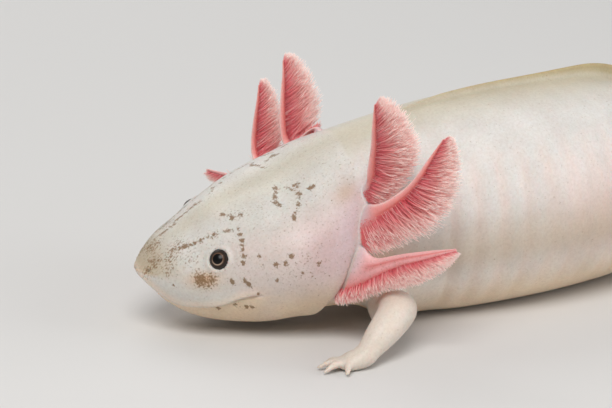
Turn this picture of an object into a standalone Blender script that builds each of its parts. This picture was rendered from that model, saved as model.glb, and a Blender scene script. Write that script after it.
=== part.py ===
"""An axolotl at life size, lying on its belly with its hands and feet down.

Each named part is one closed solid. Sizes are in millimetres and become metres when a mesh is
made. The body is worked out along a spine that runs back from the snout: a place on its skin is
given by s, the way along the spine, and phi, the angle round it, which is 0 on top, 90 degrees
on the animal's left side and 180 degrees underneath.
"""
import math

import bmesh
import bpy
import numpy as np
from mathutils import Vector

MM = 0.001
GAP = 0.3
FLOOR = 0.0

BODY_LENGTH = 236.0

# way along the spine, half width, height above the spine, depth below it, roundness of the
# upper and of the lower half of the section, where 2 is an ellipse
SECTIONS = (
    (0.0, 6.6, 1.4, 2.3, 2.2, 2.2),
    (4.0, 8.8, 4.4, 6.2, 2.2, 2.3),
    (9.0, 11.8, 7.2, 9.5, 2.2, 2.3),
    (14.0, 14.4, 9.6, 11.3, 2.2, 2.3),
    (22.0, 18.3, 11.4, 13.3, 2.2, 2.3),
    (30.0, 20.6, 12.6, 13.1, 2.2, 2.3),
    (36.0, 20.0, 15.1, 13.3, 2.1, 2.3),
    (42.0, 17.8, 17.0, 14.7, 2.0, 2.3),
    (50.0, 17.2, 18.8, 18.7, 2.0, 2.5),
    (62.0, 18.6, 20.4, 20.1, 2.0, 2.4),
    (78.0, 20.4, 21.0, 20.1, 2.0, 2.2),
    (95.0, 20.0, 20.6, 19.7, 2.0, 2.1),
    (110.0, 16.4, 17.2, 16.8, 2.0, 2.0),
    (122.0, 11.6, 13.4, 12.4, 2.0, 2.0),
    (140.0, 7.4, 9.6, 8.6, 2.0, 2.0),
    (180.0, 4.4, 5.8, 5.2, 2.0, 2.0),
    (215.0, 2.0, 3.0, 2.8, 2.0, 2.0),
    (236.0, 0.5, 0.6, 0.6, 2.0, 2.0),
)
# the way that the spine runs back, in degrees from +X seen from above
HEADING = (
    (0, -25), (30, -25), (45, -18), (60, -10), (75, -4), (90, 3), (110, 12),
    (130, 8), (160, -8), (200, -22), (236, -28),
)
# height of the spine above the floor
HEIGHT = (
    (0, 11.6), (12, 12.6), (30, 17.0), (42, 19.2), (55, 19.8), (75, 19.7),
    (95, 19.3), (110, 17.4), (122, 15.4), (140, 13.6), (160, 13.2), (190, 11.4),
    (215, 8.4), (236, 6.6),
)
# the head leans a little to its left
ROLL = ((0, 9), (34, 9), (52, 3.6), (72, 0), (236, 0))
NOSE_REACH_WIDE = 7.0
NOSE_REACH_HIGH = 4.5

# the rear rim of the head, where the gills come out, as angle and way along the spine
RIM = (
    (0, 40.5), (50, 39.8), (66, 38.1), (85, 36.0), (97, 34.2), (106, 32.7), (114, 31.2), (122, 29.9),
    (135, 28.8), (180, 28.0),
)
RIM_TOP = 40.5
RIM_MIDDLE = 36.0
RIM_SWELL = 0.5
RIM_STEP = 1.0
# how much further behind the rim than the gap the neck starts, on top, and where the rim lies
# ahead of its middle, as a share of how far ahead it lies
NECK_DIVE = 0.25
NECK_TUCK = 0.14

# rings of the head: points in each, how many round off the snout up to a place on the spine,
# and the places of the rings behind it
HEAD_AROUND = 44
SNOUT_RINGS = 9
SNOUT_END = 9.0
HEAD_RINGS = (10.7, 12.3, 13.9, 15.5, 17.2, 18.8, 20.6, 23.4, 26.4, 29.6, 32.8, 36.0, 38.2, 39.6, RIM_TOP)

# the mouth line, as way along the spine and height beside it
MOUTH = (
    (0, -0.8), (1, -1.6), (3, -3.1), (4.5, -4.1), (6, -4.7), (8, -4.8), (10.5, -4.7), (12.5, -4.3),
    (14, -3.7), (15.5, -2.9), (17, -2.5), (19, -2.15),
)
MOUTH_CORNER = 19.0
MOUTH_DEPTH = 0.7
MOUTH_WIDTH = 0.45
JAW_INSET = 0.5
LIP_HEIGHT = 0.2

# swelling round the eye and of the cheek, and the furrow along the top of the head: how far the
# skin stands out or in, and over what width
EYELID = (0.3, 3.4)
CHEEK = (0.5, 6.0)
CHEEK_PLACE = (27.0, 62.0)
FURROW = (-0.45, 1.8)

EYE_WAY = 13.8
EYE_ANGLE = 59.5
EYE_RADIUS = 2.5
EYE_SUNK = 1.95
NOSTRIL_WAY = 1.5
NOSTRIL_ANGLE = 60.0
NOSTRIL_RADIUS = 0.55

GROOVE_FIRST = 54.6
GROOVE_SPACING = 4.5
GROOVE_COUNT = 13
GROOVE_DEPTH = 0.6
GROOVE_WIDTH = 1.1
TRUNK_AROUND = 32
TAIL_AROUND = 20

NECK_END = 54.0
TORSO_FRONT_END = 75.0
TORSO_MIDDLE_END = 97.0
HIPS_END = 124.0
TAIL_BASE_END = 152.0
TAIL_MIDDLE_END = 188.0

# height of the fins over the back and tail, and under the tail, by the way along the spine
FIN_ABOVE = (
    (52, 0.6), (62, 1.2), (80, 1.6), (100, 2.8), (115, 4.4), (130, 6.4), (150, 8.8),
    (170, 9.6), (195, 8.6), (215, 6.4), (228, 3.4), (234, 1.0),
)
FIN_BELOW = (
    (129, 0.8), (140, 3.0), (155, 5.6), (175, 7.0), (195, 6.6), (215, 5.0), (228, 2.6), (234, 0.9),
)
# half thickness of a fin by the share of its height
FIN_THICKNESS = ((0.0, 0.85), (0.3, 0.53), (0.65, 0.36), (1.0, 0.25))
FIN_FIRST, FIN_LOWER_FIRST, FIN_LAST = 52.0, 129.0, 234.0
RING_SPACING = 4.0

# limbs: seat on the skin as way along the spine and angle, half lengths of the seat along and
# around the body, then elbow and wrist, or knee and ankle, as way along the spine, distance out
# from it and height above the floor
ARM_ROOT = (43.2, 127.0)
ARM_SEAT = (3.9, 3.9)
ARM_JOINTS = {
    "left": ((41.9, 26.0, 7.6), (34.8, 33.6, 2.6)),
    "right": ((43.6, 26.0, 7.6), (38.0, 33.0, 2.6)),
}
ARM_THICKNESS = (3.9, 3.8, 3.5, 3.0, 2.0)
# how far the hands and feet turn out from the body's way ahead beside them
HAND_TURN = {"left": 0.0, "right": 15.0}
LEG_ROOT = (112.5, 118.0)
LEG_SEAT = (4.8, 4.8)
LEG_JOINTS = {
    "left": ((108.5, 28.0, 9.4), (117.5, 33.0, 3.2)),
    "right": ((111.5, 28.5, 9.4), (121.0, 32.5, 3.2)),
}
LEG_THICKNESS = (4.8, 4.2, 3.6, 2.9, 2.1)
FOOT_TURN = {"left": 134.0, "right": 142.0}
# palm or sole: way ahead and height of its middle and front, then half width and half thickness
# from behind the wrist's ring to the front
PALM_MIDDLE = (3.0, 1.15)
PALM_FRONT = (4.6, 0.95)
PALM_WIDE = (2.1, 2.4, 2.7, 2.6, 1.8)
PALM_THICK = (1.75, 1.5, 1.35, 1.2, 0.8)
# digits, as turn from the middle of the hand or foot in degrees, and length
FINGERS = ((-36, 3.0), (-6, 3.9), (24, 4.0), (70, 3.0))
TOES = ((-50, 2.8), (-25, 3.9), (0, 4.8), (24, 4.6), (50, 3.4))
DIGIT_ROOT = 0.85
DIGIT_TIP = 0.4
# a digit's root, knuckle and tip: way out from the middle of the palm, share of the digit's length
# added to it, and height
DIGIT_PLACES = ((0.9, 0.0, 1.0), (2.2, 0.45, 1.05), (2.0, 1.0, 0.3))
# limbs and gills keep this far from the skin that they grow from
SEAT_GAP = GAP + 0.1

# gills: place on the skin, reach of the tip back, out and up, lean of the middle the same way,
# the side on which the filaments hang, the length of the longest and where along the stalk they start
GILLS = {
    "gill_left_upper": ((41.8, 51.0), (-0.5, 7.0, 19.0), (0.4, 1.0, -0.8), (0.95, 0.25, -0.2), 6.4, 0.12),
    "gill_left_middle": ((40.2, 67.0), (9.5, 12.0, 17.5), (0.0, 1.5, -1.5), (0.75, 0.2, -0.65), 6.6, 0.12),
    "gill_left_lower": ((37.1, 93.0), (14.5, 12.0, 5.5), (0.0, 1.5, 1.0), (0.25, 0.62, -0.75), 5.8, 0.12),
    "gill_right_upper": ((42.6, -48.0), (-5.5, 8.0, 13.9), (-1.2, 2.0, -8.2), (0.95, 0.1, 0.2), 6.4, 0.45),
    "gill_right_middle": ((40.6, -70.0), (-5.0, 14.0, 11.6), (-3.1, 6.0, -9.4), (0.85, 0.2, -0.3), 6.0, 0.33),
    "gill_right_lower": ((37.1, -93.0), (-13.0, 17.0, 0.0), (0.5, 2.5, -1.5), (0.5, 0.4, -0.8), 6.0, 0.12),
}
GILL_SEAT = (1.6, 2.1)
GILL_STALK = (1.9, 1.6, 1.25, 0.9, 0.45)
# filaments: how many in each of a gill's two rows, the last place along the stalk, and how far a
# root may stray from its even place, as a share of the spacing
FILAMENTS_IN_ROW = 12
FILAMENT_LAST = 0.97
FILAMENT_STRAY = 0.12
FILAMENT_SEED = 7
# how far a row fans out to its side and how much that varies, in degrees, and how much a filament
# leans and then bends towards the gill's tip
FILAMENT_FAN = 20.0
FILAMENT_FAN_VARIES = 5.0
FILAMENT_LEAN = 0.25
FILAMENT_BEND = 0.35
# depth of the root in the stalk, radius at places from the root to near the tip, shortest length as
# a share of the longest, how much lengths vary, and how far filaments keep from the skin
FILAMENT_SUNK = 0.5
FILAMENT_STEPS = (0.0, 0.42, 0.8)
FILAMENT_RADII = (0.46, 0.4, 0.26)
FILAMENT_SHORTEST = 0.35
FILAMENT_VARIES = (0.92, 1.06)
FILAMENT_CLEAR = 0.9


def through(rows, column, where):
    """Smooth values through the rows of a table, with no overshoot between them."""
    x = np.array([row[0] for row in rows], float)
    y = np.array([row[column] for row in rows], float)
    where = np.clip(where, x[0], x[-1])
    step = np.diff(x)
    rise = np.diff(y) / step
    slope = np.concatenate([rise[:1], np.zeros(len(x) - 2), rise[-1:]])
    near, far = rise[:-1], rise[1:]
    same = near * far > 0
    near_weight = 2 * step[1:] + step[:-1]
    far_weight = step[1:] + 2 * step[:-1]
    safe_near = np.where(same, near, 1.0)
    safe_far = np.where(same, far, 1.0)
    mean = (near_weight + far_weight) / (near_weight / safe_near + far_weight / safe_far)
    slope[1:-1] = np.where(same, mean, 0.0)
    i = np.clip(np.searchsorted(x, where, side="right") - 1, 0, len(x) - 2)
    t = (where - x[i]) / step[i]
    low = y[i] * (1 + 2 * t) * (1 - t) ** 2 + slope[i] * step[i] * t * (1 - t) ** 2
    high = y[i + 1] * t * t * (3 - 2 * t) + slope[i + 1] * step[i] * t * t * (t - 1)
    return low + high


def softened(values, step, width):
    """Values at even steps, averaged with their neighbours over about the given width."""
    reach = int(3 * width / step)
    weights = np.exp(-0.5 * (np.arange(-reach, reach + 1) * step / width) ** 2)
    before = 2 * values[0] - values[reach:0:-1]
    after = 2 * values[-1] - values[-2:-reach - 2:-1]
    return np.convolve(np.concatenate([before, values, after]), weights / weights.sum(), mode="valid")


def ease(t):
    """Rises smoothly from 0 to 1 as t does."""
    t = np.clip(t, 0.0, 1.0)
    return t * t * (3 - 2 * t)


def bell(distance, width):
    """1 at no distance, falling smoothly to nothing past the width."""
    return np.exp(-(distance / width) ** 2)


def unit(v):
    return v / np.linalg.norm(v, axis=-1, keepdims=True)


class Body:
    """The skin of the body as a function of s and phi."""

    STEP = 0.25

    def __init__(self):
        self.fine = np.arange(0, BODY_LENGTH + self.STEP / 2, self.STEP)
        self.heading = np.radians(self.table(HEADING, 1, 4.0))
        height = self.table(HEIGHT, 1, 4.0)
        self.tilt = np.arcsin(np.gradient(height, self.fine))
        self.roll = np.radians(self.table(ROLL, 1, 3.0))
        run = np.stack([np.cos(self.heading), np.sin(self.heading)], 1) * np.cos(self.tilt)[:, None]
        plan = np.concatenate([[[0, 0]], np.cumsum((run[1:] + run[:-1]) / 2 * self.STEP, axis=0)])
        self.spine = np.column_stack([plan, height])
        self.shape = [self.table(SECTIONS, column, 1.5) for column in range(1, 6)]

    def table(self, rows, column, width):
        return softened(through(rows, column, self.fine), self.STEP, width)

    def at(self, s, values):
        return np.interp(s, self.fine, values)

    def axes(self, s):
        """The spine's point, and its ways back, to the animal's left, and up."""
        point = np.stack([self.at(s, self.spine[:, i]) for i in range(3)], -1)
        heading, tilt, roll = (self.at(s, v) for v in (self.heading, self.tilt, self.roll))
        run = np.cos(tilt)
        back = np.stack([np.cos(heading) * run, np.sin(heading) * run, np.sin(tilt)], -1)
        left = np.stack([np.sin(heading), -np.cos(heading), np.zeros_like(heading)], -1)
        up = np.cross(left, back)
        c, q = np.cos(roll)[..., None], np.sin(roll)[..., None]
        return point, back, left * c - up * q, up * c + left * q

    def section(self, s, phi):
        """Place beside the spine, to the left and up, without the relief."""
        half, top, bottom, round_top, round_bottom = (self.at(s, v) for v in self.shape)
        wide = np.sqrt(1 - (1 - np.clip(s / NOSE_REACH_WIDE, 0, 1)) ** 2)
        high = np.sqrt(1 - (1 - np.clip(s / NOSE_REACH_HIGH, 0, 1)) ** 2)
        c, q = np.cos(phi), np.sin(phi)
        power = 2 / np.where(c > 0, round_top, round_bottom)
        across = half * wide * np.sign(q) * np.abs(q) ** power
        upward = np.where(c > 0, top, bottom) * high * np.sign(c) * np.abs(c) ** power
        return across, upward

    def bare(self, s, phi):
        """Points on the plain sections, without the relief."""
        across, upward = self.section(s, phi)
        point, _, left, up = self.axes(s)
        return point + left * across[..., None] + up * upward[..., None]

    def normal(self, s, phi):
        ds, dphi = 0.05, 0.01
        ahead = np.maximum(s - ds, 0.01)
        along = self.bare(s + ds, phi) - self.bare(ahead, phi)
        round_it = self.bare(s, phi + dphi) - self.bare(s, phi - dphi)
        return unit(np.cross(round_it, along))

    def mouth_angle(self, s):
        """The angle at which the mouth line runs, in degrees."""
        bottom = self.at(s, self.shape[2]) * np.sqrt(1 - (1 - np.clip(s / NOSE_REACH_HIGH, 0, 1)) ** 2)
        level = np.clip(-through(MOUTH, 1, s) / np.maximum(bottom, 0.01), 0, 1)
        return 180 - np.degrees(np.arccos(level ** (self.at(s, self.shape[4]) / 2)))

    def relief(self, s, phi, behind_rim):
        """How far the skin stands out of the plain section, or into it where negative."""
        angle = np.degrees(np.abs(phi))
        _, upward = self.section(s, phi)
        girth = (self.at(s, self.shape[0]) + self.at(s, self.shape[1])) / 2 * math.pi / 180

        eye = EYELID[0] * bell(np.hypot(s - EYE_WAY, (angle - EYE_ANGLE) * girth), EYELID[1])
        off_cheek = np.hypot((s - CHEEK_PLACE[0]) / 1.4, (angle - CHEEK_PLACE[1]) * girth)
        cheek = CHEEK[0] * bell(off_cheek, CHEEK[1])
        furrow = FURROW[0] * bell(angle * girth, FURROW[1]) * ease((s - 15) / 6) * ease((43 - s) / 8)

        off_mouth = upward - through(MOUTH, 1, s)
        has_mouth = ease((MOUTH_CORNER + 1 - s) / 2)
        line = -MOUTH_DEPTH * bell(off_mouth, MOUTH_WIDTH) * has_mouth
        inset = -JAW_INSET * ease(-off_mouth / 0.8) * ease((off_mouth + 6) / 5) * has_mouth
        lip = LIP_HEIGHT * bell(off_mouth - 0.9, 0.7) * has_mouth

        past_rim = s - through(RIM, 1, angle)
        low_down = ease((angle - 34) / 16)
        swell = RIM_SWELL * bell(past_rim, 2.6)
        step = -RIM_STEP * np.exp(-np.maximum(past_rim, 0) / 3.2)
        rim = np.where(behind_rim, step, swell) * low_down

        number = np.clip(np.round((s - GROOVE_FIRST) / GROOVE_SPACING), 0, GROOVE_COUNT - 1)
        off_groove = s - GROOVE_FIRST - number * GROOVE_SPACING
        flank = ease((angle - 28) / 20) * ease((152 - angle) / 20)
        groove = -GROOVE_DEPTH * bell(off_groove, GROOVE_WIDTH) * flank

        return eye + cheek + furrow + line + inset + lip + rim + groove

    def skin(self, s, phi, behind_rim=True, lift=0.0):
        """Points on the skin, raised by lift. Arguments may be arrays of one shape."""
        s, phi = np.broadcast_arrays(np.asarray(s, float), np.asarray(phi, float))
        out = self.relief(s, phi, behind_rim) + lift
        return self.bare(s, phi) + self.normal(s, phi) * out[..., None]


BODY = Body()


def clear_scene():
    for thing in list(bpy.data.objects):
        bpy.data.objects.remove(thing)


def material(name, colour, roughness):
    made = bpy.data.materials.new(name)
    made.use_nodes = True
    shader = made.node_tree.nodes["Principled BSDF"]
    shader.inputs["Base Color"].default_value = (*colour, 1.0)
    shader.inputs["Roughness"].default_value = roughness
    return made


def new_object(name, points, faces, look, collection):
    """A mesh object from points in millimetres."""
    mesh = bpy.data.meshes.new(name)
    mesh.from_pydata([tuple(p) for p in np.asarray(points) * MM], [], faces)
    work = bmesh.new()
    work.from_mesh(mesh)
    bmesh.ops.recalc_face_normals(work, faces=work.faces)
    work.to_mesh(mesh)
    work.free()
    mesh.materials.append(look)
    made = bpy.data.objects.new(name, mesh)
    collection.objects.link(made)
    return made


def lofted(rings, first=None, last=None):
    """Points and faces of a closed body through rings of equal count.

    Each end closes on a single point: the one that is given, or else the end ring's middle.
    """
    rings = [np.asarray(ring) for ring in rings]
    count = len(rings[0])
    first = rings[0].mean(0) if first is None else first
    last = rings[-1].mean(0) if last is None else last
    points = np.concatenate(rings + [[first], [last]])
    faces = []
    for row in range(len(rings) - 1):
        for i in range(count):
            j = (i + 1) % count
            a, b = row * count, (row + 1) * count
            faces.append((a + i, a + j, b + j, b + i))
    end = (len(rings) - 1) * count
    for i in range(count):
        j = (i + 1) % count
        faces.append((j, i, len(points) - 2))
        faces.append((end + i, end + j, len(points) - 1))
    return points, faces


def cut_flat(thing):
    """Takes away what is under the floor and closes the cut."""
    work = bmesh.new()
    work.from_mesh(thing.data)
    everything = work.verts[:] + work.edges[:] + work.faces[:]
    level, down = (0, 0, FLOOR * MM), (0, 0, -1)
    bmesh.ops.bisect_plane(work, geom=everything, dist=1e-7, plane_co=level, plane_no=down, clear_outer=True)
    rim = [edge for edge in work.edges if edge.is_boundary]
    if rim:
        bmesh.ops.holes_fill(work, edges=rim)
    work.to_mesh(thing.data)
    work.free()


def applied(thing, kind, operation, others):
    """One Boolean of a solid with a collection of others, which are then removed."""
    modifier = thing.modifiers.new(kind, "BOOLEAN")
    modifier.operation = operation
    modifier.operand_type = "COLLECTION"
    modifier.collection = others
    modifier.solver = "EXACT"
    bpy.context.view_layer.update()
    result = bpy.data.meshes.new_from_object(thing.evaluated_get(bpy.context.evaluated_depsgraph_get()))
    thing.modifiers.clear()
    thing.data = result
    for other in list(others.objects):
        bpy.data.objects.remove(other)
    bpy.data.collections.remove(others)
    return thing


def keep_largest(thing):
    """Keeps the largest closed surface of a mesh and drops what hangs loose in it."""
    work = bmesh.new()
    work.from_mesh(thing.data)
    work.verts.ensure_lookup_table()
    left = set(work.verts)
    islands = []
    while left:
        seed = left.pop()
        island, edge_of_it = {seed}, [seed]
        while edge_of_it:
            vert = edge_of_it.pop()
            for edge in vert.link_edges:
                other = edge.other_vert(vert)
                if other not in island:
                    island.add(other)
                    edge_of_it.append(other)
        left -= island
        islands.append(island)
    largest = max(islands, key=len)
    loose = [vert for vert in work.verts if vert not in largest]
    bmesh.ops.delete(work, geom=loose, context="VERTS")
    work.to_mesh(thing.data)
    work.free()


def head_angles(s, count):
    """Angles round the head at one place, closer together at the mouth line."""
    above = count * 5 // 16
    lip = 4.5
    mouth = float(np.clip(BODY.mouth_angle(np.array(s)), 92, 164))
    if s > MOUTH_CORNER:
        mouth += (97 - mouth) * float(ease((s - MOUTH_CORNER) / 6))
    upper = np.linspace(0, mouth - lip, above)
    lower = np.linspace(mouth + lip, 180, count // 2 - above)
    half = np.concatenate([upper, [mouth], lower])
    return np.radians(np.concatenate([half, -half[-2:0:-1]]))


def head(look, collection):
    """Head up to its rear rim, with mouth line, nostrils and eye sockets."""
    snout = SNOUT_END * (1 - np.cos(np.linspace(0.14, 1, SNOUT_RINGS) * math.pi / 2))
    rings = []
    for row in (*snout, *HEAD_RINGS):
        phi = head_angles(row, HEAD_AROUND)
        shift = through(RIM, 1, np.degrees(np.abs(phi))) - RIM_TOP
        s = row + shift * ease((row - 18) / (RIM_TOP - 18))
        rings.append(BODY.skin(s, phi, behind_rim=False))
    tip = BODY.axes(np.array(0.0))[0]
    middle = BODY.axes(np.array(RIM_MIDDLE))[0]
    made = new_object("head", *lofted(rings, first=tip, last=middle), look, collection)

    cutters = bpy.data.collections.new("head_cutters")
    bpy.context.scene.collection.children.link(cutters)
    for side in (1, -1):
        ball("socket", eye_centre(side), EYE_RADIUS + GAP, 18, 10, look, cutters)
        nostril = BODY.skin(NOSTRIL_WAY, side * math.radians(NOSTRIL_ANGLE), False, 0.12)
        ball("nostril", nostril, NOSTRIL_RADIUS, 8, 6, look, cutters)
    applied(made, "sockets and nostrils", "DIFFERENCE", cutters)
    keep_largest(made)
    return made


def ball(name, centre, radius, segments, rings, look, collection):
    mesh = bpy.data.meshes.new(name)
    work = bmesh.new()
    bmesh.ops.create_uvsphere(work, u_segments=segments, v_segments=rings, radius=radius * MM)
    work.to_mesh(mesh)
    work.free()
    mesh.materials.append(look)
    made = bpy.data.objects.new(name, mesh)
    made.location = Vector(centre) * MM
    collection.objects.link(made)
    return made


def eye_centre(side):
    return BODY.skin(EYE_WAY, side * math.radians(EYE_ANGLE), False, -EYE_SUNK)


def eyes(look, collection):
    for name, side in (("eye_left", 1), ("eye_right", -1)):
        ball(name, eye_centre(side), EYE_RADIUS, 14, 9, look, collection)


def neck(look, collection):
    """From the head's rear rim, under whose edge it dives, back past the shoulders."""
    phi = head_angles(RIM_TOP, HEAD_AROUND)
    rim = through(RIM, 1, np.degrees(np.abs(phi)))
    shift = rim + NECK_TUCK * np.maximum(RIM_MIDDLE - rim, 0) - RIM_TOP
    rings = []
    for row in np.linspace(RIM_TOP + GAP + NECK_DIVE, NECK_END, 6):
        s = row + shift * ease((NECK_END - row) / (NECK_END - RIM_TOP))
        rings.append(BODY.skin(s, phi))
    middle = BODY.axes(np.array(RIM_MIDDLE + GAP))[0]
    made = new_object("neck", *lofted(rings, first=middle), look, collection)
    cut_flat(made)


def trunk_rows(start, end, step):
    """Ring places with one in the middle of each costal groove and one on each fold between."""
    folds = GROOVE_FIRST + GROOVE_SPACING / 2 * np.arange(2 * GROOVE_COUNT)
    rows = [start]
    rows += [row for row in folds if start + 1.2 < row < end - 1.2]
    last = max(rows)
    extra = int((end - last) // step)
    rows += list(np.linspace(last, end, extra + 2)[1:])
    return rows


def trunk_length(name, start, end, look, collection):
    phi = np.linspace(-math.pi, math.pi, TRUNK_AROUND, endpoint=False)
    rings = [BODY.skin(np.full(len(phi), row), phi) for row in trunk_rows(start, end, RING_SPACING)]
    made = new_object(name, *lofted(rings), look, collection)
    cut_flat(made)


def tail_length(name, start, end, look, collection, tip=None):
    phi = np.linspace(-math.pi, math.pi, TAIL_AROUND, endpoint=False)
    rows = np.linspace(start, end, round((end - start) / RING_SPACING) + 1)
    rings = [BODY.skin(np.full(len(phi), row), phi) for row in rows]
    made = new_object(name, *lofted(rings, last=tip), look, collection)
    cut_flat(made)


def torso_and_tail(look, collection):
    trunk_length("torso_front", NECK_END + GAP, TORSO_FRONT_END, look, collection)
    trunk_length("torso_middle", TORSO_FRONT_END + GAP, TORSO_MIDDLE_END, look, collection)
    trunk_length("hips", TORSO_MIDDLE_END + GAP, HIPS_END, look, collection)
    tail_length("tail_base", HIPS_END + GAP, TAIL_BASE_END, look, collection)
    tail_length("tail_middle", TAIL_BASE_END + GAP, TAIL_MIDDLE_END, look, collection)
    tip = BODY.axes(np.array(BODY_LENGTH))[0]
    tail_length("tail_tip", TAIL_MIDDLE_END + GAP, BODY_LENGTH - 1.0, look, collection, tip)


def fin(name, heights, start, end, above, look, collection):
    """A thin blade along the back or the tail, split into triangles alike on both faces."""
    s = np.linspace(start, end, round((end - start) / RING_SPACING) + 1)
    phi = np.full(len(s), 0.0 if above else math.pi)
    root = BODY.skin(s, phi, lift=GAP + 0.05)
    _, _, left, up = BODY.axes(s)
    up = up if above else -up
    tall = through(heights, 1, s)
    if not above:
        tall = np.minimum(tall, (root[:, 2] - FLOOR) / np.maximum(-up[:, 2], 0.2))
    points = []
    for sign in (1, -1):
        for level, half in FIN_THICKNESS:
            points.append(root + up * (tall * level)[:, None] + left * sign * half)
    count, high = len(s), len(FIN_THICKNESS)
    faces = []

    def strip(low, top, flip):
        for i in range(count - 1):
            a, b = low * count + i, low * count + i + 1
            c, d = top * count + i + 1, top * count + i
            faces.extend([(a, b, c), (a, c, d)] if flip else [(a, c, b), (a, d, c)])

    for level in range(high - 1):
        strip(level, level + 1, True)
        strip(high + level, high + level + 1, False)
    strip(high - 1, 2 * high - 1, True)
    strip(0, high, False)
    for i in (0, count - 1):
        for level in range(high - 1):
            one, two = level * count + i, (level + 1) * count + i
            other_one, other_two = one + high * count, two + high * count
            faces.append((one, two, other_two, other_one))
    made = new_object(name, np.concatenate(points), faces, look, collection)
    cut_flat(made)


def fins(look, collection):
    fin("fin_back", FIN_ABOVE, FIN_FIRST, HIPS_END - GAP, True, look, collection)
    fin("fin_tail_upper", FIN_ABOVE, HIPS_END + GAP, FIN_LAST, True, look, collection)
    fin("fin_tail_lower", FIN_BELOW, FIN_LOWER_FIRST, FIN_LAST, False, look, collection)


def beside(s, out, height):
    """A point beside the spine: out is to the left, and right where it is negative."""
    point, _, left, _ = BODY.axes(np.array(float(s)))
    flat = unit(left[:2])
    return np.array([*(point[:2] + flat * out), height])


def smooth_path(points, count, start=None):
    """Points at even steps on a smooth curve through the given ones, and its directions there."""
    points = np.asarray(points, float)
    way = np.concatenate([[0], np.cumsum(np.linalg.norm(np.diff(points, axis=0), axis=1))])
    slope = np.gradient(points, way, axis=0)
    if start is not None:
        slope[0] = start
    where = np.linspace(0, way[-1], count)
    i = np.clip(np.searchsorted(way, where, side="right") - 1, 0, len(way) - 2)
    length = (way[i + 1] - way[i])[:, None]
    t = (where - way[i])[:, None] / length
    curve = (
        points[i] * (1 + 2 * t) * (1 - t) ** 2
        + slope[i] * length * t * (1 - t) ** 2
        + points[i + 1] * t * t * (3 - 2 * t)
        + slope[i + 1] * length * t * t * (t - 1)
    )
    return curve, unit(np.gradient(curve, axis=0))


def rings_along(curve, ways, wide, thick, top, count):
    """Elliptical rings square to a curve, thick towards top and wide across it."""
    angle = np.linspace(0, 2 * math.pi, count, endpoint=False)
    rings = []
    for point, way, across, through_it in zip(curve, ways, wide, thick):
        side = unit(np.cross(way, top))
        upward = np.cross(side, way)
        turn = np.cos(angle)[:, None] * side * across + np.sin(angle)[:, None] * upward * through_it
        rings.append(point + turn)
    return rings


def seat(s, phi, size, like):
    """Rings on the skin on which a limb or gill sits, their points lined up with a ring beyond."""
    along = size[0]
    around = size[1] / ((BODY.at(s, BODY.shape[0]) + BODY.at(s, BODY.shape[1])) / 2)
    count = len(like)
    angle = np.linspace(0, 2 * math.pi, count, endpoint=False)
    best = None
    for direction in (1, -1):
        for shift in range(count):
            turn = direction * (angle + angle[shift])
            ring = BODY.skin(s + along * np.cos(turn), phi + around * np.sin(turn), True, SEAT_GAP)
            miss = np.linalg.norm(ring - like, axis=1).sum()
            if best is None or miss < best[0]:
                best = (miss, turn, ring)
    _, turn, ring = best
    inner = BODY.skin(s + along / 2 * np.cos(turn), phi + around / 2 * np.sin(turn), True, SEAT_GAP)
    middle = BODY.skin(s, phi, True, SEAT_GAP)
    return [inner, ring], middle


def limb(name, root, size, places, side, thickness, look, collection):
    """Arm or leg from its seat on the skin to the wrist or ankle, and what a hand or foot needs."""
    s, phi = root[0], side * math.radians(root[1])
    joints = [beside(way_along, side * out, height) for way_along, out, height in places]
    foot = BODY.skin(s, phi, True, SEAT_GAP)
    outward = BODY.normal(np.array(s), np.array(phi))
    curve, ways = smooth_path([foot, *joints], 12, outward)
    where = np.linspace(0, 1, len(curve))
    radius = through(list(zip(np.linspace(0, 1, len(thickness)), thickness)), 1, where)
    rings = rings_along(curve[1:], ways[1:], radius[1:], radius[1:], (0, 0, 1), 14)
    seat_rings, middle = seat(s, phi, size, rings[0])
    new_object(name, *lofted(seat_rings + rings, first=middle), look, collection)
    return curve[-1], ways[-1], radius[-1], float(BODY.at(places[-1][0], BODY.heading))


def tube(name, points, radii, count, look, collection):
    """A tapering round piece with its ends closed."""
    curve, ways = smooth_path(points, len(radii))
    rings = rings_along(curve, ways, radii, radii, (0, 0, 1), count)
    return new_object(name, *lofted(rings, last=curve[-1] + ways[-1] * radii[-1] * 0.6), look, collection)


def extremity(name, end, turn, side, digits, look, collection):
    """Hand or foot: a flat palm with its digits fused on, soles cut flat on the floor."""
    wrist, way, radius, body_heading = end
    start = wrist + way * GAP
    heading = math.pi + body_heading + side * math.radians(turn)
    ahead = np.array([math.cos(heading), math.sin(heading), 0.0])
    centre, front = (start + ahead * out for out, _ in (PALM_MIDDLE, PALM_FRONT))
    centre[2], front[2] = PALM_MIDDLE[1], PALM_FRONT[1]
    curve, _ = smooth_path([start, centre, front], len(PALM_WIDE) + 1, way)
    turned = np.clip(np.linspace(0, 1.2, len(curve)), 0, 1)[:, None]
    ways = unit(way * (1 - turned) + ahead * turned)
    palm_rings = rings_along(curve, ways, (radius, *PALM_WIDE), (radius, *PALM_THICK), (0, 0, 1), 12)
    palm = new_object(name, *lofted(palm_rings), look, collection)
    pieces = bpy.data.collections.new(name + "_digits")
    bpy.context.scene.collection.children.link(pieces)
    for angle, length in digits:
        bearing = heading + side * math.radians(angle)
        run = np.array([math.cos(bearing), math.sin(bearing), 0.0])
        points = []
        for out, share, height in DIGIT_PLACES:
            point = centre + run * (out + share * length)
            points.append((point[0], point[1], height))
        tube("digit", points, np.linspace(DIGIT_ROOT, DIGIT_TIP, 5), 6, look, pieces)
    applied(palm, "digits", "UNION", pieces)
    cut_flat(palm)
    keep_largest(palm)


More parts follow.
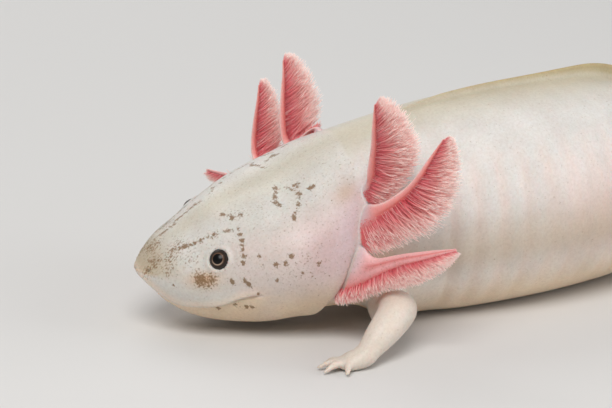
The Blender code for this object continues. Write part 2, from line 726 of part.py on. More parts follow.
def limbs(look, collection):
    for name, side in (("left", 1), ("right", -1)):
        places = ARM_JOINTS[name]
        wrist = limb("arm_" + name, ARM_ROOT, ARM_SEAT, places, side, ARM_THICKNESS, look, collection)
        extremity("hand_" + name, wrist, HAND_TURN[name], side, FINGERS, look, collection)
        places = LEG_JOINTS[name]
        ankle = limb("leg_" + name, LEG_ROOT, LEG_SEAT, places, side, LEG_THICKNESS, look, collection)
        extremity("foot_" + name, ankle, FOOT_TURN[name], side, TOES, look, collection)


def clear_of_skin(points, distance):
    """The points, with those that come nearer to the body's skin than a distance moved out to it."""
    moved = []
    for point in points:
        s = BODY.fine[np.argmin(np.linalg.norm(BODY.spine - point, axis=1))]
        middle, _, left, up = BODY.axes(s)
        across, upward = (point - middle) @ left, (point - middle) @ up
        half, top, bottom, round_top, round_bottom = (BODY.at(s, v) for v in BODY.shape)
        high, power = (top, round_top / 2) if upward > 0 else (bottom, round_bottom / 2)
        sine = np.sign(across) * (abs(across) / half) ** power
        cosine = np.sign(upward) * (abs(upward) / high) ** power
        nearest = BODY.skin(s, math.atan2(sine, cosine))
        outside = np.hypot(across, upward) - np.linalg.norm(nearest - middle)
        if outside < distance:
            point = BODY.skin(s, math.atan2(sine, cosine), True, distance)
        moved.append(point)
    return np.array(moved)


def filament(root, way, bend, length, look, collection):
    """One gill filament: four-sided, tapering to a point, bent towards the gill's tip."""
    steps = np.array(FILAMENT_STEPS)[:, None] * length
    points = root + way * steps + bend * steps ** 2 / length * FILAMENT_BEND
    tip = root + way * length + bend * length * FILAMENT_BEND
    curve = clear_of_skin([*points[1:], tip], FILAMENT_CLEAR)
    curve = np.concatenate([points[:1], curve])
    ways = unit(np.gradient(curve, axis=0))[:-1]
    rings = rings_along(curve[:-1], ways, FILAMENT_RADII, FILAMENT_RADII, np.cross(way, bend), 4)
    new_object("filament", *lofted(rings, last=curve[-1]), look, collection)


def at_share(share, shares, rows):
    """A row of numbers read off a table at a share of the way along it."""
    return np.array([np.interp(share, shares, column) for column in np.transpose(rows)])


def gill(name, root, reach, lean, hang, length, start, look, collection):
    """A gill: a tapering stalk with two rows of filaments along the side on which they hang."""
    s, degrees = root
    side = 1 if degrees > 0 else -1
    phi = math.radians(degrees)
    _, back, left, _ = BODY.axes(np.array(s))
    frame = np.array([unit(back * (1, 1, 0)), unit(left * (1, 1, 0)) * side, (0, 0, 1)])
    foot = BODY.skin(s, phi, True, SEAT_GAP)
    outward = BODY.normal(np.array(s), np.array(phi))
    tip = foot + np.array(reach) @ frame
    middle = foot + np.array(reach) * 0.5 @ frame + np.array(lean) @ frame
    curve, ways = smooth_path([foot, middle, tip], 9, outward)
    where = np.linspace(0, 1, len(curve))
    radius = through(list(zip(np.linspace(0, 1, len(GILL_STALK)), GILL_STALK)), 1, where)
    hanging = unit(np.array(hang) @ frame)
    rings = rings_along(curve[1:], ways[1:], radius[1:], radius[1:], hanging, 10)
    seat_rings, centre = seat(s, phi, GILL_SEAT, rings[0])
    end = curve[-1] + ways[-1] * GILL_STALK[-1]
    stalk = new_object(name, *lofted(seat_rings + rings, first=centre, last=end), look, collection)

    draw = np.random.default_rng(FILAMENT_SEED + len(name) + int(abs(degrees)))
    pieces = bpy.data.collections.new(name + "_filaments")
    bpy.context.scene.collection.children.link(pieces)
    for row in (-1, 1):
        for number in range(FILAMENTS_IN_ROW):
            even = number + (1 + row) * 0.25
            along = (even + draw.uniform(-FILAMENT_STRAY, FILAMENT_STRAY)) / FILAMENTS_IN_ROW
            along = start + (FILAMENT_LAST - start) * along
            way = unit(at_share(along, where, ways))
            down = unit(hanging - way * (hanging @ way))
            fan = math.radians(FILAMENT_FAN + draw.uniform(-FILAMENT_FAN_VARIES, FILAMENT_FAN_VARIES))
            out = down * math.cos(fan) + np.cross(way, down) * row * math.sin(fan)
            depth = np.interp(along, where, radius) - FILAMENT_SUNK
            base = at_share(along, where, curve) + out * depth
            longest = math.sin(math.pi * along ** 0.8) ** 0.8
            full = length * (FILAMENT_SHORTEST + (1 - FILAMENT_SHORTEST) * longest)
            reach_out = full * draw.uniform(*FILAMENT_VARIES)
            filament(base, unit(out + way * FILAMENT_LEAN), way, reach_out, look, pieces)
    applied(stalk, "filaments", "UNION", pieces)
    keep_largest(stalk)


def gills(look, collection):
    for name, values in GILLS.items():
        gill(name, *values, look, collection)


def stand_on_origin(collection):
    """Moves every part so that the middle of the whole box's base is the origin."""
    bpy.context.view_layer.update()
    corners = []
    for thing in collection.objects:
        points = np.array([thing.matrix_world @ vert.co for vert in thing.data.vertices])
        corners.append((points.min(0), points.max(0)))
    low = np.min([c[0] for c in corners], axis=0)
    high = np.max([c[1] for c in corners], axis=0)
    centre = bpy.data.objects.new("axolotl", None)
    collection.objects.link(centre)
    centre.location = (-(low[0] + high[0]) / 2, -(low[1] + high[1]) / 2, -low[2])
    for thing in list(collection.objects):
        if thing is not centre:
            thing.parent = centre


def build():
    clear_scene()
    collection = bpy.data.collections.new("axolotl")
    bpy.context.scene.collection.children.link(collection)
    skin = material("skin", (0.85, 0.78, 0.73), 0.45)
    gill_red = material("gill_red", (0.72, 0.25, 0.27), 0.5)
    fin_skin = material("fin_skin", (0.80, 0.68, 0.62), 0.5)
    eye_black = material("eye_black", (0.02, 0.015, 0.015), 0.1)
    head(skin, collection)
    eyes(eye_black, collection)
    neck(skin, collection)
    torso_and_tail(skin, collection)
    fins(fin_skin, collection)
    limbs(skin, collection)
    gills(gill_red, collection)
    for thing in collection.objects:
        thing.data.shade_smooth()
        thing.data.set_sharp_from_angle(angle=math.radians(45))
    stand_on_origin(collection)


build()
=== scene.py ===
"""The looks of a life-size axolotl: one skin over the whole body, eyes, and feathery gills.

Sizes are in millimetres and become metres when a mesh is made. A place on the body's skin is given
by s, the way along the spine from the snout, and phi, the angle round it, which is 0 on top, 90
degrees on the animal's left side and 180 degrees underneath.
"""

import math

import bmesh
import bpy
import numpy as np
from mathutils import Matrix, Vector
from mathutils.kdtree import KDTree


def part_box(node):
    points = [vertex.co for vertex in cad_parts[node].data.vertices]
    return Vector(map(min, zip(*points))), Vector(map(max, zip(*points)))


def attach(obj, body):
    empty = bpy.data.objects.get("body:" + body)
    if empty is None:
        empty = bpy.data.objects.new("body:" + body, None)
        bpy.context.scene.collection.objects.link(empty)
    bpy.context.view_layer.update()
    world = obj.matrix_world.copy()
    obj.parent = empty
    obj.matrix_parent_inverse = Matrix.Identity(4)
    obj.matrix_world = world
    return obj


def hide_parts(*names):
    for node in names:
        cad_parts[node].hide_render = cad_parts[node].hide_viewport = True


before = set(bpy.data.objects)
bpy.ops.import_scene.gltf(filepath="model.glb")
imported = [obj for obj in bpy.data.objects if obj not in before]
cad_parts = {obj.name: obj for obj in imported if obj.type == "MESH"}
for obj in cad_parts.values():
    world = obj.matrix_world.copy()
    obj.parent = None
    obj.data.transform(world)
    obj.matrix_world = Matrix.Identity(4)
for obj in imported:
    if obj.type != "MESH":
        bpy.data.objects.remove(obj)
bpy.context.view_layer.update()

MM = 0.001
FLOOR = 0.0
UP = (0.0, 0.0, 1.0)
BODY_LENGTH = 236.0

# way along the spine, half width, height above the spine, depth below it, roundness of the
# upper and of the lower half of the section, where 2 is an ellipse
SECTIONS = (
    (0.0, 6.6, 1.4, 2.3, 2.2, 2.2),
    (4.0, 8.8, 4.4, 6.2, 2.2, 2.3),
    (9.0, 11.8, 7.2, 9.5, 2.2, 2.3),
    (14.0, 14.4, 9.6, 11.3, 2.2, 2.3),
    (22.0, 18.3, 11.4, 13.3, 2.2, 2.3),
    (30.0, 20.6, 12.6, 13.1, 2.2, 2.3),
    (36.0, 20.0, 15.1, 13.3, 2.1, 2.3),
    (42.0, 17.8, 17.0, 14.7, 2.0, 2.3),
    (50.0, 17.2, 18.8, 18.7, 2.0, 2.5),
    (62.0, 18.6, 20.4, 20.1, 2.0, 2.4),
    (78.0, 20.4, 21.0, 20.1, 2.0, 2.2),
    (95.0, 20.0, 20.6, 19.7, 2.0, 2.1),
    (110.0, 16.4, 17.2, 16.8, 2.0, 2.0),
    (122.0, 11.6, 13.4, 12.4, 2.0, 2.0),
    (140.0, 7.4, 9.6, 8.6, 2.0, 2.0),
    (180.0, 4.4, 5.8, 5.2, 2.0, 2.0),
    (215.0, 2.0, 3.0, 2.8, 2.0, 2.0),
    (236.0, 0.5, 0.6, 0.6, 2.0, 2.0),
)
# the way that the spine runs back, in degrees from +X seen from above
HEADING = (
    (0, -25), (30, -25), (45, -18), (60, -10), (75, -4), (90, 3), (110, 12),
    (130, 8), (160, -8), (200, -22), (236, -28),
)
# height of the spine above the floor
HEIGHT = (
    (0, 11.6), (12, 12.6), (30, 17.0), (42, 19.2), (55, 19.8), (75, 19.7),
    (95, 19.3), (110, 17.4), (122, 15.4), (140, 13.6), (160, 13.2), (190, 11.4),
    (215, 8.4), (236, 6.6),
)
# the head leans a little to its left
ROLL = ((0, 9), (34, 9), (52, 3.6), (72, 0), (236, 0))
NOSE_REACH_WIDE = 7.0
NOSE_REACH_HIGH = 4.5

# the rear rim of the head, where the gills come out, as angle and way along the spine; its swell,
# and the step down and the chest's swell behind it
RIM = (
    (0, 40.5), (50, 39.8), (66, 38.1), (85, 36.0), (97, 34.2), (106, 32.7), (114, 31.2), (122, 29.9),
    (135, 28.8), (180, 28.0),
)
RIM_TOP = 40.5
RIM_SWELL = 0.5
CHEST_SWELL = 2.6
RIM_STEP = 0.85
# angles between which the rim's edge comes up out of the skin
RIM_EDGE = (76.0, 106.0)
NECK_END = 54.0

# the mouth line, as way along the spine and height beside it
MOUTH = (
    (0, -0.8), (1, -1.6), (3, -3.1), (4.5, -4.1), (6, -4.7), (8, -4.8), (10.5, -4.7), (12.5, -4.3),
    (14, -3.7), (15.5, -2.9), (17, -2.5), (19, -2.15),
)
MOUTH_CORNER = 19.0

# how far an eyeball's middle lies under the skin
EYE_SUNK = 1.65
EYE_WAY = 13.8
EYE_ANGLE = 59.5
EYE_RADIUS = 2.5
NOSTRIL_WAY = 1.5
NOSTRIL_ANGLE = 60.0
NOSTRIL_DEPTH = 0.75
NOSTRIL_RIM = 0.12
CHEEK_RISE = 0.5
FURROW_DEPTH = 0.45
MOUTH_DEPTH = 0.6
JAW_INSET = 0.36
LIP_RISE = 0.22

# grooves of the flank, and how far the folds between them rise
GROOVE_FIRST = 54.6
GROOVE_SPACING = 4.5
GROOVE_COUNT = 13
GROOVE_DEPTH = 0.42
GROOVE_WIDTH = 1.0
FOLD_RISE = 0.08

# swelling round an eye, its lid's edge, the crease outside that, and the depth under the eyeball
LID_SWELL = 0.16
LID_EDGE = 0.2
LID_CREASE = 0.12
SOCKET_DEPTH = 1.3

# height of the fins over the back and tail, and under the tail
FIN_ABOVE = (
    (48, 0.0), (52, 0.5), (62, 1.2), (80, 1.6), (100, 2.8), (115, 4.4), (130, 6.4), (150, 8.8),
    (170, 9.6), (195, 8.6), (215, 6.4), (228, 3.4), (234, 1.0), (236, 0.2),
)
FIN_BELOW = (
    (124, 0.0), (129, 0.6), (140, 3.0), (155, 5.6), (175, 7.0), (195, 6.6), (215, 5.0), (228, 2.6),
    (234, 0.9), (236, 0.2),
)
# a fin's profile from its edge down to where it has run out into the back: half thickness there
# and share of its height
FIN_PROFILE = (
    (0.0, 1.0), (0.14, 0.99), (0.24, 0.95), (0.32, 0.75), (0.42, 0.5), (0.58, 0.27), (0.85, 0.12),
    (1.4, 0.04), (2.3, 0.0),
)

# limbs: root on the skin as way along the spine and angle, then elbow and wrist, or knee and
# ankle, as way along the spine, distance out from it and height above the floor
ARM_ROOT = (43.2, 127.0)
ARM_JOINTS = {
    "left": ((41.9, 26.0, 7.6), (34.8, 33.6, 2.6)),
    "right": ((43.6, 26.0, 7.6), (38.0, 33.0, 2.6)),
}
ARM_THICKNESS = (3.9, 3.8, 3.5, 3.0, 2.0)
HAND_TURN = {"left": 0.0, "right": 15.0}
LEG_ROOT = (112.5, 118.0)
LEG_JOINTS = {
    "left": ((108.5, 28.0, 9.4), (117.5, 33.0, 3.2)),
    "right": ((111.5, 28.5, 9.4), (121.0, 32.5, 3.2)),
}
LEG_THICKNESS = (4.8, 4.2, 3.6, 2.9, 2.1)
FOOT_TURN = {"left": 134.0, "right": 142.0}
# digits, as turn from the middle of the hand or foot in degrees, and length
FINGERS = ((-36, 3.0), (-6, 3.9), (24, 4.0), (70, 3.0))
TOES = ((-50, 2.8), (-25, 3.9), (0, 4.8), (24, 4.6), (50, 3.4))

# gills: place of the root on the skin as way along the spine and angle, reach of the tip back, out
# and up, lean of the middle the same way, the side on which the filaments hang, the length of the
# longest and where along the stalk they grow, where along it the first ones stand, half the angle
# round the blade over which they stand, and the angles on the head's rim between which the root is
GILLS = {
    "gill_left_upper": (
        (42.2, 51.0), (-2.2, 7.0, 17.6), (0.3, 1.0, -0.8), (0.95, 0.25, -0.2), 6.4, 0.4, 0.02, 112.0,
        (46.0, 57.0),
    ),
    "gill_left_middle": (
        (40.4, 67.5), (9.8, 12.0, 17.2), (0.5, 1.5, -1.8), (0.75, 0.2, -0.65), 6.6, 0.35, 0.02, 112.0,
        (58.0, 79.5),
    ),
    "gill_left_lower": (
        (37.1, 93.0), (14.5, 12.0, 5.5), (0.0, 1.5, 0.2), (0.25, 0.62, -0.75), 3.6, 0.5, 0.0, 60.0,
        (80.0, 114.0),
    ),
    "gill_right_upper": (
        (42.6, -50.0), (-5.5, 8.0, 13.3), (-1.2, 2.0, -9.6), (0.95, 0.1, 0.2), 6.6, 0.55, 0.14, 112.0,
        (45.0, 56.0),
    ),
    "gill_right_middle": (
        (40.6, -70.0), (-6.0, 14.0, 11.2), (-3.3, 6.0, -9.4), (0.85, 0.2, -0.3), 6.6, 0.5, 0.2, 112.0,
        (60.5, 80.0),
    ),
    "gill_right_lower": (
        (37.1, -93.0), (-13.0, 16.4, 0.0), (0.5, 2.5, -1.5), (0.5, 0.4, -0.8), 5.4, 0.4, 0.02, 90.0,
        (81.0, 114.0),
    ),
}
# a gill's blade: half depth towards the filaments and half thickness, from root to tip, how far
# behind the rim it stands, the share of its length over which the root turns into the blade, and
# how deep under the skin its first rings lie
BLADE_DEEP = (1.95, 1.7, 1.25, 0.85, 0.35)
BLADE_THICK = (1.0, 0.8, 0.62, 0.42, 0.18)
BLADE_BEHIND_RIM = 1.6
BLADE_ROOT_SHARE = 0.3
BURIED_LIFTS = (-2.4, -1.6, -0.8)
BLADE_AROUND = 28
BLADE_RINGS = 56
CREST_RISE = 0.2


def hermite(start, end, start_slope, end_slope, t):
    """A cubic from start to end with the given slopes, at t from 0 to 1."""
    low = start * (1 + 2 * t) * (1 - t) ** 2 + start_slope * t * (1 - t) ** 2
    high = end * t * t * (3 - 2 * t) + end_slope * t * t * (t - 1)
    return low + high


def through(rows, column, where):
    """Smooth values through the rows of a table, with no overshoot between them."""
    x = np.array([row[0] for row in rows], float)
    y = np.array([row[column] for row in rows], float)
    where = np.clip(where, x[0], x[-1])
    step = np.diff(x)
    rise = np.diff(y) / step
    slope = np.concatenate([rise[:1], np.zeros(len(x) - 2), rise[-1:]])
    near, far = rise[:-1], rise[1:]
    same = near * far > 0
    near_weight = 2 * step[1:] + step[:-1]
    far_weight = step[1:] + 2 * step[:-1]
    safe_near = np.where(same, near, 1.0)
    safe_far = np.where(same, far, 1.0)
    mean = (near_weight + far_weight) / (near_weight / safe_near + far_weight / safe_far)
    slope[1:-1] = np.where(same, mean, 0.0)
    i = np.clip(np.searchsorted(x, where, side="right") - 1, 0, len(x) - 2)
    t = (where - x[i]) / step[i]
    return hermite(y[i], y[i + 1], slope[i] * step[i], slope[i + 1] * step[i], t)


def evenly_through(values, where):
    """Smooth values through given ones, which stand at even steps from 0 to 1."""
    return through(list(zip(np.linspace(0, 1, len(values)), values)), 1, where)


def softened(values, step, width):
    """Values at even steps, averaged with their neighbours over about the given width."""
    reach = int(3 * width / step)
    weights = np.exp(-0.5 * (np.arange(-reach, reach + 1) * step / width) ** 2)
    before = 2 * values[0] - values[reach:0:-1]
    after = 2 * values[-1] - values[-2:-reach - 2:-1]
    return np.convolve(np.concatenate([before, values, after]), weights / weights.sum(), mode="valid")


def ease(t):
    """Rises smoothly from 0 to 1 as t does."""
    t = np.clip(t, 0.0, 1.0)
    return t * t * (3 - 2 * t)


def bell(distance, width):
    """1 at no distance, falling smoothly to nothing past the width."""
    return np.exp(-(distance / width) ** 2)


def rim_edge(angle):
    """How far the head's rim stands out at an angle in degrees, from 0 to 1."""
    return ease((np.abs(angle) - RIM_EDGE[0]) / (RIM_EDGE[1] - RIM_EDGE[0]))


def nose_share(s, reach):
    """How far the rounded snout has grown to the full section at s, from 0 to 1."""
    return np.sqrt(1 - (1 - np.clip(s / reach, 0, 1)) ** 2)


def nearest_groove(s):
    """Number of the groove on the flank nearest to s, and how far s is past it."""
    number = np.clip(np.round((s - GROOVE_FIRST) / GROOVE_SPACING), 0, GROOVE_COUNT - 1)
    return number, s - GROOVE_FIRST - number * GROOVE_SPACING


def even_angles(count):
    return np.linspace(0, 2 * math.pi, count, endpoint=False)


def way_along(points):
    """Length of the way through points, up to each of them."""
    return np.concatenate([[0], np.cumsum(np.linalg.norm(np.diff(points, axis=0), axis=1))])


def unit(v):
    return v / np.linalg.norm(v, axis=-1, keepdims=True)


class Body:
    """The skin of the body as a function of s and phi."""

    STEP = 0.25

    def __init__(self):
        self.fine = np.arange(0, BODY_LENGTH + self.STEP / 2, self.STEP)
        self.heading = np.radians(self.table(HEADING, 1, 4.0))
        height = self.table(HEIGHT, 1, 4.0)
        self.tilt = np.arcsin(np.gradient(height, self.fine))
        self.roll = np.radians(self.table(ROLL, 1, 3.0))
        run = np.stack([np.cos(self.heading), np.sin(self.heading)], 1) * np.cos(self.tilt)[:, None]
        plan = np.concatenate([[[0, 0]], np.cumsum((run[1:] + run[:-1]) / 2 * self.STEP, axis=0)])
        self.spine = np.column_stack([plan, height])
        self.shape = [self.table(SECTIONS, column, 1.5) for column in range(1, 6)]
        self.eyes = [self.bare(EYE_WAY, side * math.radians(EYE_ANGLE)) for side in (1, -1)]
        self.nostrils = [self.bare(NOSTRIL_WAY, side * math.radians(NOSTRIL_ANGLE)) for side in (1, -1)]

    def table(self, rows, column, width):
        return softened(through(rows, column, self.fine), self.STEP, width)

    def at(self, s, values):
        return np.interp(s, self.fine, values)

    def axes(self, s):
        """The spine's point, and its ways back, to the animal's left, and up."""
        point = np.stack([self.at(s, self.spine[:, i]) for i in range(3)], -1)
        heading, tilt, roll = (self.at(s, v) for v in (self.heading, self.tilt, self.roll))
        run = np.cos(tilt)
        back = np.stack([np.cos(heading) * run, np.sin(heading) * run, np.sin(tilt)], -1)
        left = np.stack([np.sin(heading), -np.cos(heading), np.zeros_like(heading)], -1)
        up = np.cross(left, back)
        c, q = np.cos(roll)[..., None], np.sin(roll)[..., None]
        return point, back, left * c - up * q, up * c + left * q

    def section(self, s, phi):
        """Place beside the spine, to the left and up, without the relief."""
        half, top, bottom, round_top, round_bottom = (self.at(s, v) for v in self.shape)
        wide = nose_share(s, NOSE_REACH_WIDE)
        high = nose_share(s, NOSE_REACH_HIGH)
        c, q = np.cos(phi), np.sin(phi)
        power = 2 / np.where(c > 0, round_top, round_bottom)
        across = half * wide * np.sign(q) * np.abs(q) ** power
        upward = np.where(c > 0, top, bottom) * high * np.sign(c) * np.abs(c) ** power
        return across, upward

    def bare(self, s, phi):
        """Points on the plain sections, without the relief."""
        across, upward = self.section(s, phi)
        point, _, left, up = self.axes(s)
        return point + left * across[..., None] + up * upward[..., None]

    def normal(self, s, phi):
        ds, dphi = 0.05, 0.01
        ahead = np.maximum(s - ds, 0.01)
        along = self.bare(s + ds, phi) - self.bare(ahead, phi)
        round_it = self.bare(s, phi + dphi) - self.bare(s, phi - dphi)
        return unit(np.cross(round_it, along))

    def mouth_angle(self, s):
        """The angle at which the mouth line runs, in degrees."""
        bottom = self.at(s, self.shape[2]) * nose_share(s, NOSE_REACH_HIGH)
        level = np.clip(-through(MOUTH, 1, s) / np.maximum(bottom, 0.01), 0, 1)
        return 180 - np.degrees(np.arccos(level ** (self.at(s, self.shape[4]) / 2)))

    def girth(self, s):
        """Millimetres round the section for one degree."""
        return (self.at(s, self.shape[0]) + self.at(s, self.shape[1])) / 2 * math.pi / 180

    def relief(self, s, phi, point, behind_rim):
        """How far the skin stands out of the plain section, or into it where negative."""
        angle = np.degrees(np.abs(phi))
        _, upward = self.section(s, phi)
        girth = self.girth(s)

        eye = 0.0
        for middle in self.eyes:
            off = np.linalg.norm(point - middle, axis=-1)
            eye = eye + LID_SWELL * bell(off, 3.4) + LID_EDGE * bell(off - 2.25, 0.4)
            eye = eye - LID_CREASE * bell(off - 3.0, 0.4) - SOCKET_DEPTH * ease((1.9 - off) / 0.5)
        nostril = 0.0
        for middle in self.nostrils:
            off = np.linalg.norm(point - middle, axis=-1)
            nostril = nostril - NOSTRIL_DEPTH * bell(off, 0.42) + NOSTRIL_RIM * bell(off - 0.8, 0.35)
        cheek = bell(np.hypot((s - 27) / 1.4, (angle - 62) * girth), 6.0) * CHEEK_RISE
        furrow = -FURROW_DEPTH * bell(angle * girth, 1.8) * ease((s - 15) / 6) * ease((43 - s) / 8)

        off_mouth = upward - through(MOUTH, 1, s)
        has_mouth = ease((MOUTH_CORNER + 1 - s) / 2)
        line = -MOUTH_DEPTH * bell(off_mouth, 0.26) * has_mouth
        jaw_end = ease((MOUTH_CORNER + 1 - s) / 6)
        inset = -JAW_INSET * ease(-off_mouth / 0.6) * ease((off_mouth + 6) / 5) * jaw_end
        lip = LIP_RISE * bell(off_mouth - 0.7, 0.65) * has_mouth

        past_rim = s - through(RIM, 1, angle)
        swell = RIM_SWELL * bell(past_rim, 2.6)
        step = -RIM_STEP * np.exp(-np.maximum(past_rim, 0) / 3.2)
        rim = np.where(behind_rim, step, swell) * rim_edge(angle)
        chest = CHEST_SWELL * bell(s - 44, 6.5) * bell(angle - 142, 34) * ease(past_rim / 7)
        chest = np.where(behind_rim, chest, 0.0)

        number, off_groove = nearest_groove(s)
        flank = ease((angle - 44) / 26) * ease((150 - angle) / 22)
        depth = GROOVE_DEPTH * (0.85 + 0.3 * np.sin(number * 2.4 + 1.0)) + FOLD_RISE
        groove = (FOLD_RISE - depth * bell(off_groove, GROOVE_WIDTH)) * flank

        return eye + nostril + cheek + furrow + line + inset + lip + rim + chest + groove

    def skin(self, s, phi, behind_rim=True, lift=0.0):
        """Points on the skin, raised by lift. Arguments may be arrays of one shape."""
        s, phi = np.broadcast_arrays(np.asarray(s, float), np.asarray(phi, float))
        point = self.bare(s, phi)
        out = self.relief(s, phi, point, behind_rim) + lift
        return point + self.normal(s, phi) * np.asarray(out)[..., None]


BODY = Body()


def eye_centre(side):
    """Middle of an eyeball, under the skin without the lids' relief."""
    phi = side * math.radians(EYE_ANGLE)
    return BODY.bare(EYE_WAY, phi) - BODY.normal(EYE_WAY, phi) * EYE_SUNK


# where the millimetres of this script lie in the frame, found from the left eye
low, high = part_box("eye_left")
OFFSET = np.array((low + high) / 2) / MM - eye_centre(1)
OFFSET[2] = 0.0


def placed(name, data):
    """A new object in the scene."""
    made = bpy.data.objects.new(name, data)
    bpy.context.scene.collection.objects.link(made)
    return made


def new_object(name, points, faces, looks=()):
    """A mesh object from points in millimetres, smooth, with its materials."""
    mesh = bpy.data.meshes.new(name)
    mesh.from_pydata((np.asarray(points) + OFFSET) * MM, [], faces)
    for look in looks:
        mesh.materials.append(look)
    mesh.shade_smooth()
    return placed(name, mesh)


def points_of(thing):
    """A mesh's points in this script's millimetres."""
    flat = np.empty(len(thing.data.vertices) * 3)
    thing.data.vertices.foreach_get("co", flat)
    return flat.reshape(-1, 3) / MM - OFFSET


def set_points(thing, points):
    thing.data.vertices.foreach_set("co", ((points + OFFSET) * MM).ravel())
    thing.data.update()


def bands(rings, around):
    """Numbers of a ring's points, of the next ones round it, and the faces between all rings."""
    i = np.arange(around)
    j = (i + 1) % around
    base = np.arange(rings - 1)[:, None] * around
    faces = np.stack([base + i, base + j, base + around + j, base + around + i], -1)
    return i, j, faces.reshape(-1, 4)


def closed(name, rings, first=None, last=None, looks=()):
    """A closed object through rings of equal count, with its faces outward."""
    count = len(rings[0])
    first = rings[0].mean(0) if first is None else first
    last = rings[-1].mean(0) if last is None else last
    points = np.concatenate([*rings, [first], [last]])
    i, j, quads = bands(len(rings), count)
    end = (len(rings) - 1) * count
    near = np.stack([j, i, np.full(count, len(points) - 2)], -1)
    far = np.stack([end + i, end + j, np.full(count, len(points) - 1)], -1)
    made = new_object(name, points, quads.tolist() + near.tolist() + far.tolist(), looks)
    work = bmesh.new()
    work.from_mesh(made.data)
    bmesh.ops.recalc_face_normals(work, faces=work.faces)
    work.to_mesh(made.data)
    work.free()
    return made


def even_by_density(low, high, count, density):
    """Places from low to high, closer together where the density is high."""
    fine = np.linspace(low, high, 600)
    total = np.concatenate([[0], np.cumsum((density(fine[1:]) + density(fine[:-1])) / 2)])
    return np.interp(np.linspace(0, total[-1], count), total, fine)


# way along the spine and space there between the skin's rows
ROW_SPACING = (
    (0, 0.2), (3, 0.35), (10, 0.36), (12, 0.3), (16, 0.3), (20, 0.36), (32, 0.4), (42, 0.4), (50, 0.6),
    (60, 0.8), (115, 0.9), (130, 1.5), (236, 1.8),
)
# the fold behind the head's rim: its rows, the step between them, how far it reaches back and down
FOLD_ROWS = 8
FOLD_STEP = 0.1
FOLD_BULGE = 0.45
FOLD_DROP = 1.5
SIDE_COLUMNS = 78
# where along the spine the rows start to lean towards the rim's shape
LEAN_START = 18.0


def row_density(s):
    return 1 / through(ROW_SPACING, 1, s)


def skin_rows():
    """Ways along the spine of the skin's rows, with the rows of the fold behind the head's rim."""
    count = int(row_density(np.linspace(0, BODY_LENGTH, 2400)).mean() * BODY_LENGTH)
    rows = even_by_density(0.05, BODY_LENGTH - 0.3, count, row_density)
    ahead = [(row, 0.0) for row in rows if row < RIM_TOP - 0.1]
    fold = [(RIM_TOP + i * FOLD_STEP, math.pi * i / FOLD_ROWS) for i in range(FOLD_ROWS + 1)]
    end = fold[-1][0]
    behind = [(row, math.pi) for row in rows if row > end + 0.15]
    return ahead + fold + behind


def half_columns(s):
    """Angles from the top to the bottom of one side at one place, and shares of the fins' heights."""
    half = float(BODY.at(s, BODY.shape[0]) * nose_share(s, NOSE_REACH_WIDE))
    widths, shares = np.transpose(FIN_PROFILE)
    scale = min(1.0, 0.6 * half / widths[-1])
    round_top, round_bottom = BODY.at(s, BODY.shape[3]), BODY.at(s, BODY.shape[4])
    upper = np.degrees(np.arcsin((widths * scale / half) ** (round_top / 2)))
    lower = 180 - np.degrees(np.arcsin((widths * scale / half) ** (round_bottom / 2)))[::-1]
    mouth = float(np.clip(BODY.mouth_angle(s), 92, 164))
    mouth += (97 - mouth) * float(ease((s - MOUTH_CORNER) / 6))

    def density(angle):
        near_eye = 1.6 * bell(angle - EYE_ANGLE, 10) * bell(s - EYE_WAY, 7)
        near_mouth = 4.5 * bell(angle - mouth, 5) * ease((30 - s) / 9)
        return 1 + near_eye + near_mouth

    sides = even_by_density(upper[-1], lower[0], SIDE_COLUMNS, density)[1:-1]
    angles = np.concatenate([upper, sides, lower])
    above = np.concatenate([shares, np.zeros(len(sides) + len(lower))])
    below = np.concatenate([np.zeros(len(upper) + len(sides)), shares[::-1]])
    return angles, above, below


def body_skin():
    """Head, trunk, tail and fins as one closed surface, with the fold behind the head."""
    rings = []
    for row, turn in skin_rows():
        angles, above, below = half_columns(row)
        angle = np.concatenate([angles, -angles[-2:0:-1]])
        above = np.concatenate([above, above[-2:0:-1]])
        below = np.concatenate([below, below[-2:0:-1]])
        phi = np.radians(angle)
        shift = through(RIM, 1, np.abs(angle)) - RIM_TOP
        if row < RIM_TOP:
            shift = shift * ease((row - LEAN_START) / (RIM_TOP - LEAN_START))
        else:
            shift = shift * ease((NECK_END - row) / (NECK_END - RIM_TOP))
        low_down = rim_edge(angle)
        s = row + shift + FOLD_BULGE * math.sin(turn) * low_down
        if turn < math.pi:
            drop = FOLD_DROP * (1 - math.cos(turn)) / 2 * low_down
            ring = BODY.skin(s, phi, False, -drop)
        else:
            ring = BODY.skin(s, phi, True)
        _, _, _, up = BODY.axes(s)
        ring = ring + up * (through(FIN_ABOVE, 1, s) * above)[:, None]
        depth = through(FIN_BELOW, 1, s)
        depth = np.minimum(depth, np.maximum(ring[:, 2] - FLOOR, 0) / np.maximum(up[:, 2], 0.2))
        ring = ring - up * (depth * below)[:, None]
        ring[:, 2] = np.maximum(ring[:, 2], FLOOR)
        rings.append(ring)
    return closed("skin", rings, BODY.axes(0.0)[0], BODY.axes(BODY_LENGTH)[0])


def beside(s, out, height):
    """A point beside the spine: out is to the left, and right where it is negative."""
    point, _, left, _ = BODY.axes(s)
    flat = unit(left[:2])
    return np.array([*(point[:2] + flat * out), height])


def smooth_path(points, count, start=None):
    """Points at even steps on a smooth curve through the given ones, and its directions there."""
    points = np.asarray(points, float)
    way = way_along(points)
    slope = np.gradient(points, way, axis=0)
    if start is not None:
        slope[0] = start
    where = np.linspace(0, way[-1], count)
    i = np.clip(np.searchsorted(way, where, side="right") - 1, 0, len(way) - 2)
    length = (way[i + 1] - way[i])[:, None]
    t = (where - way[i])[:, None] / length
    curve = hermite(points[i], points[i + 1], slope[i] * length, slope[i + 1] * length, t)
    return curve, unit(np.gradient(curve, axis=0))


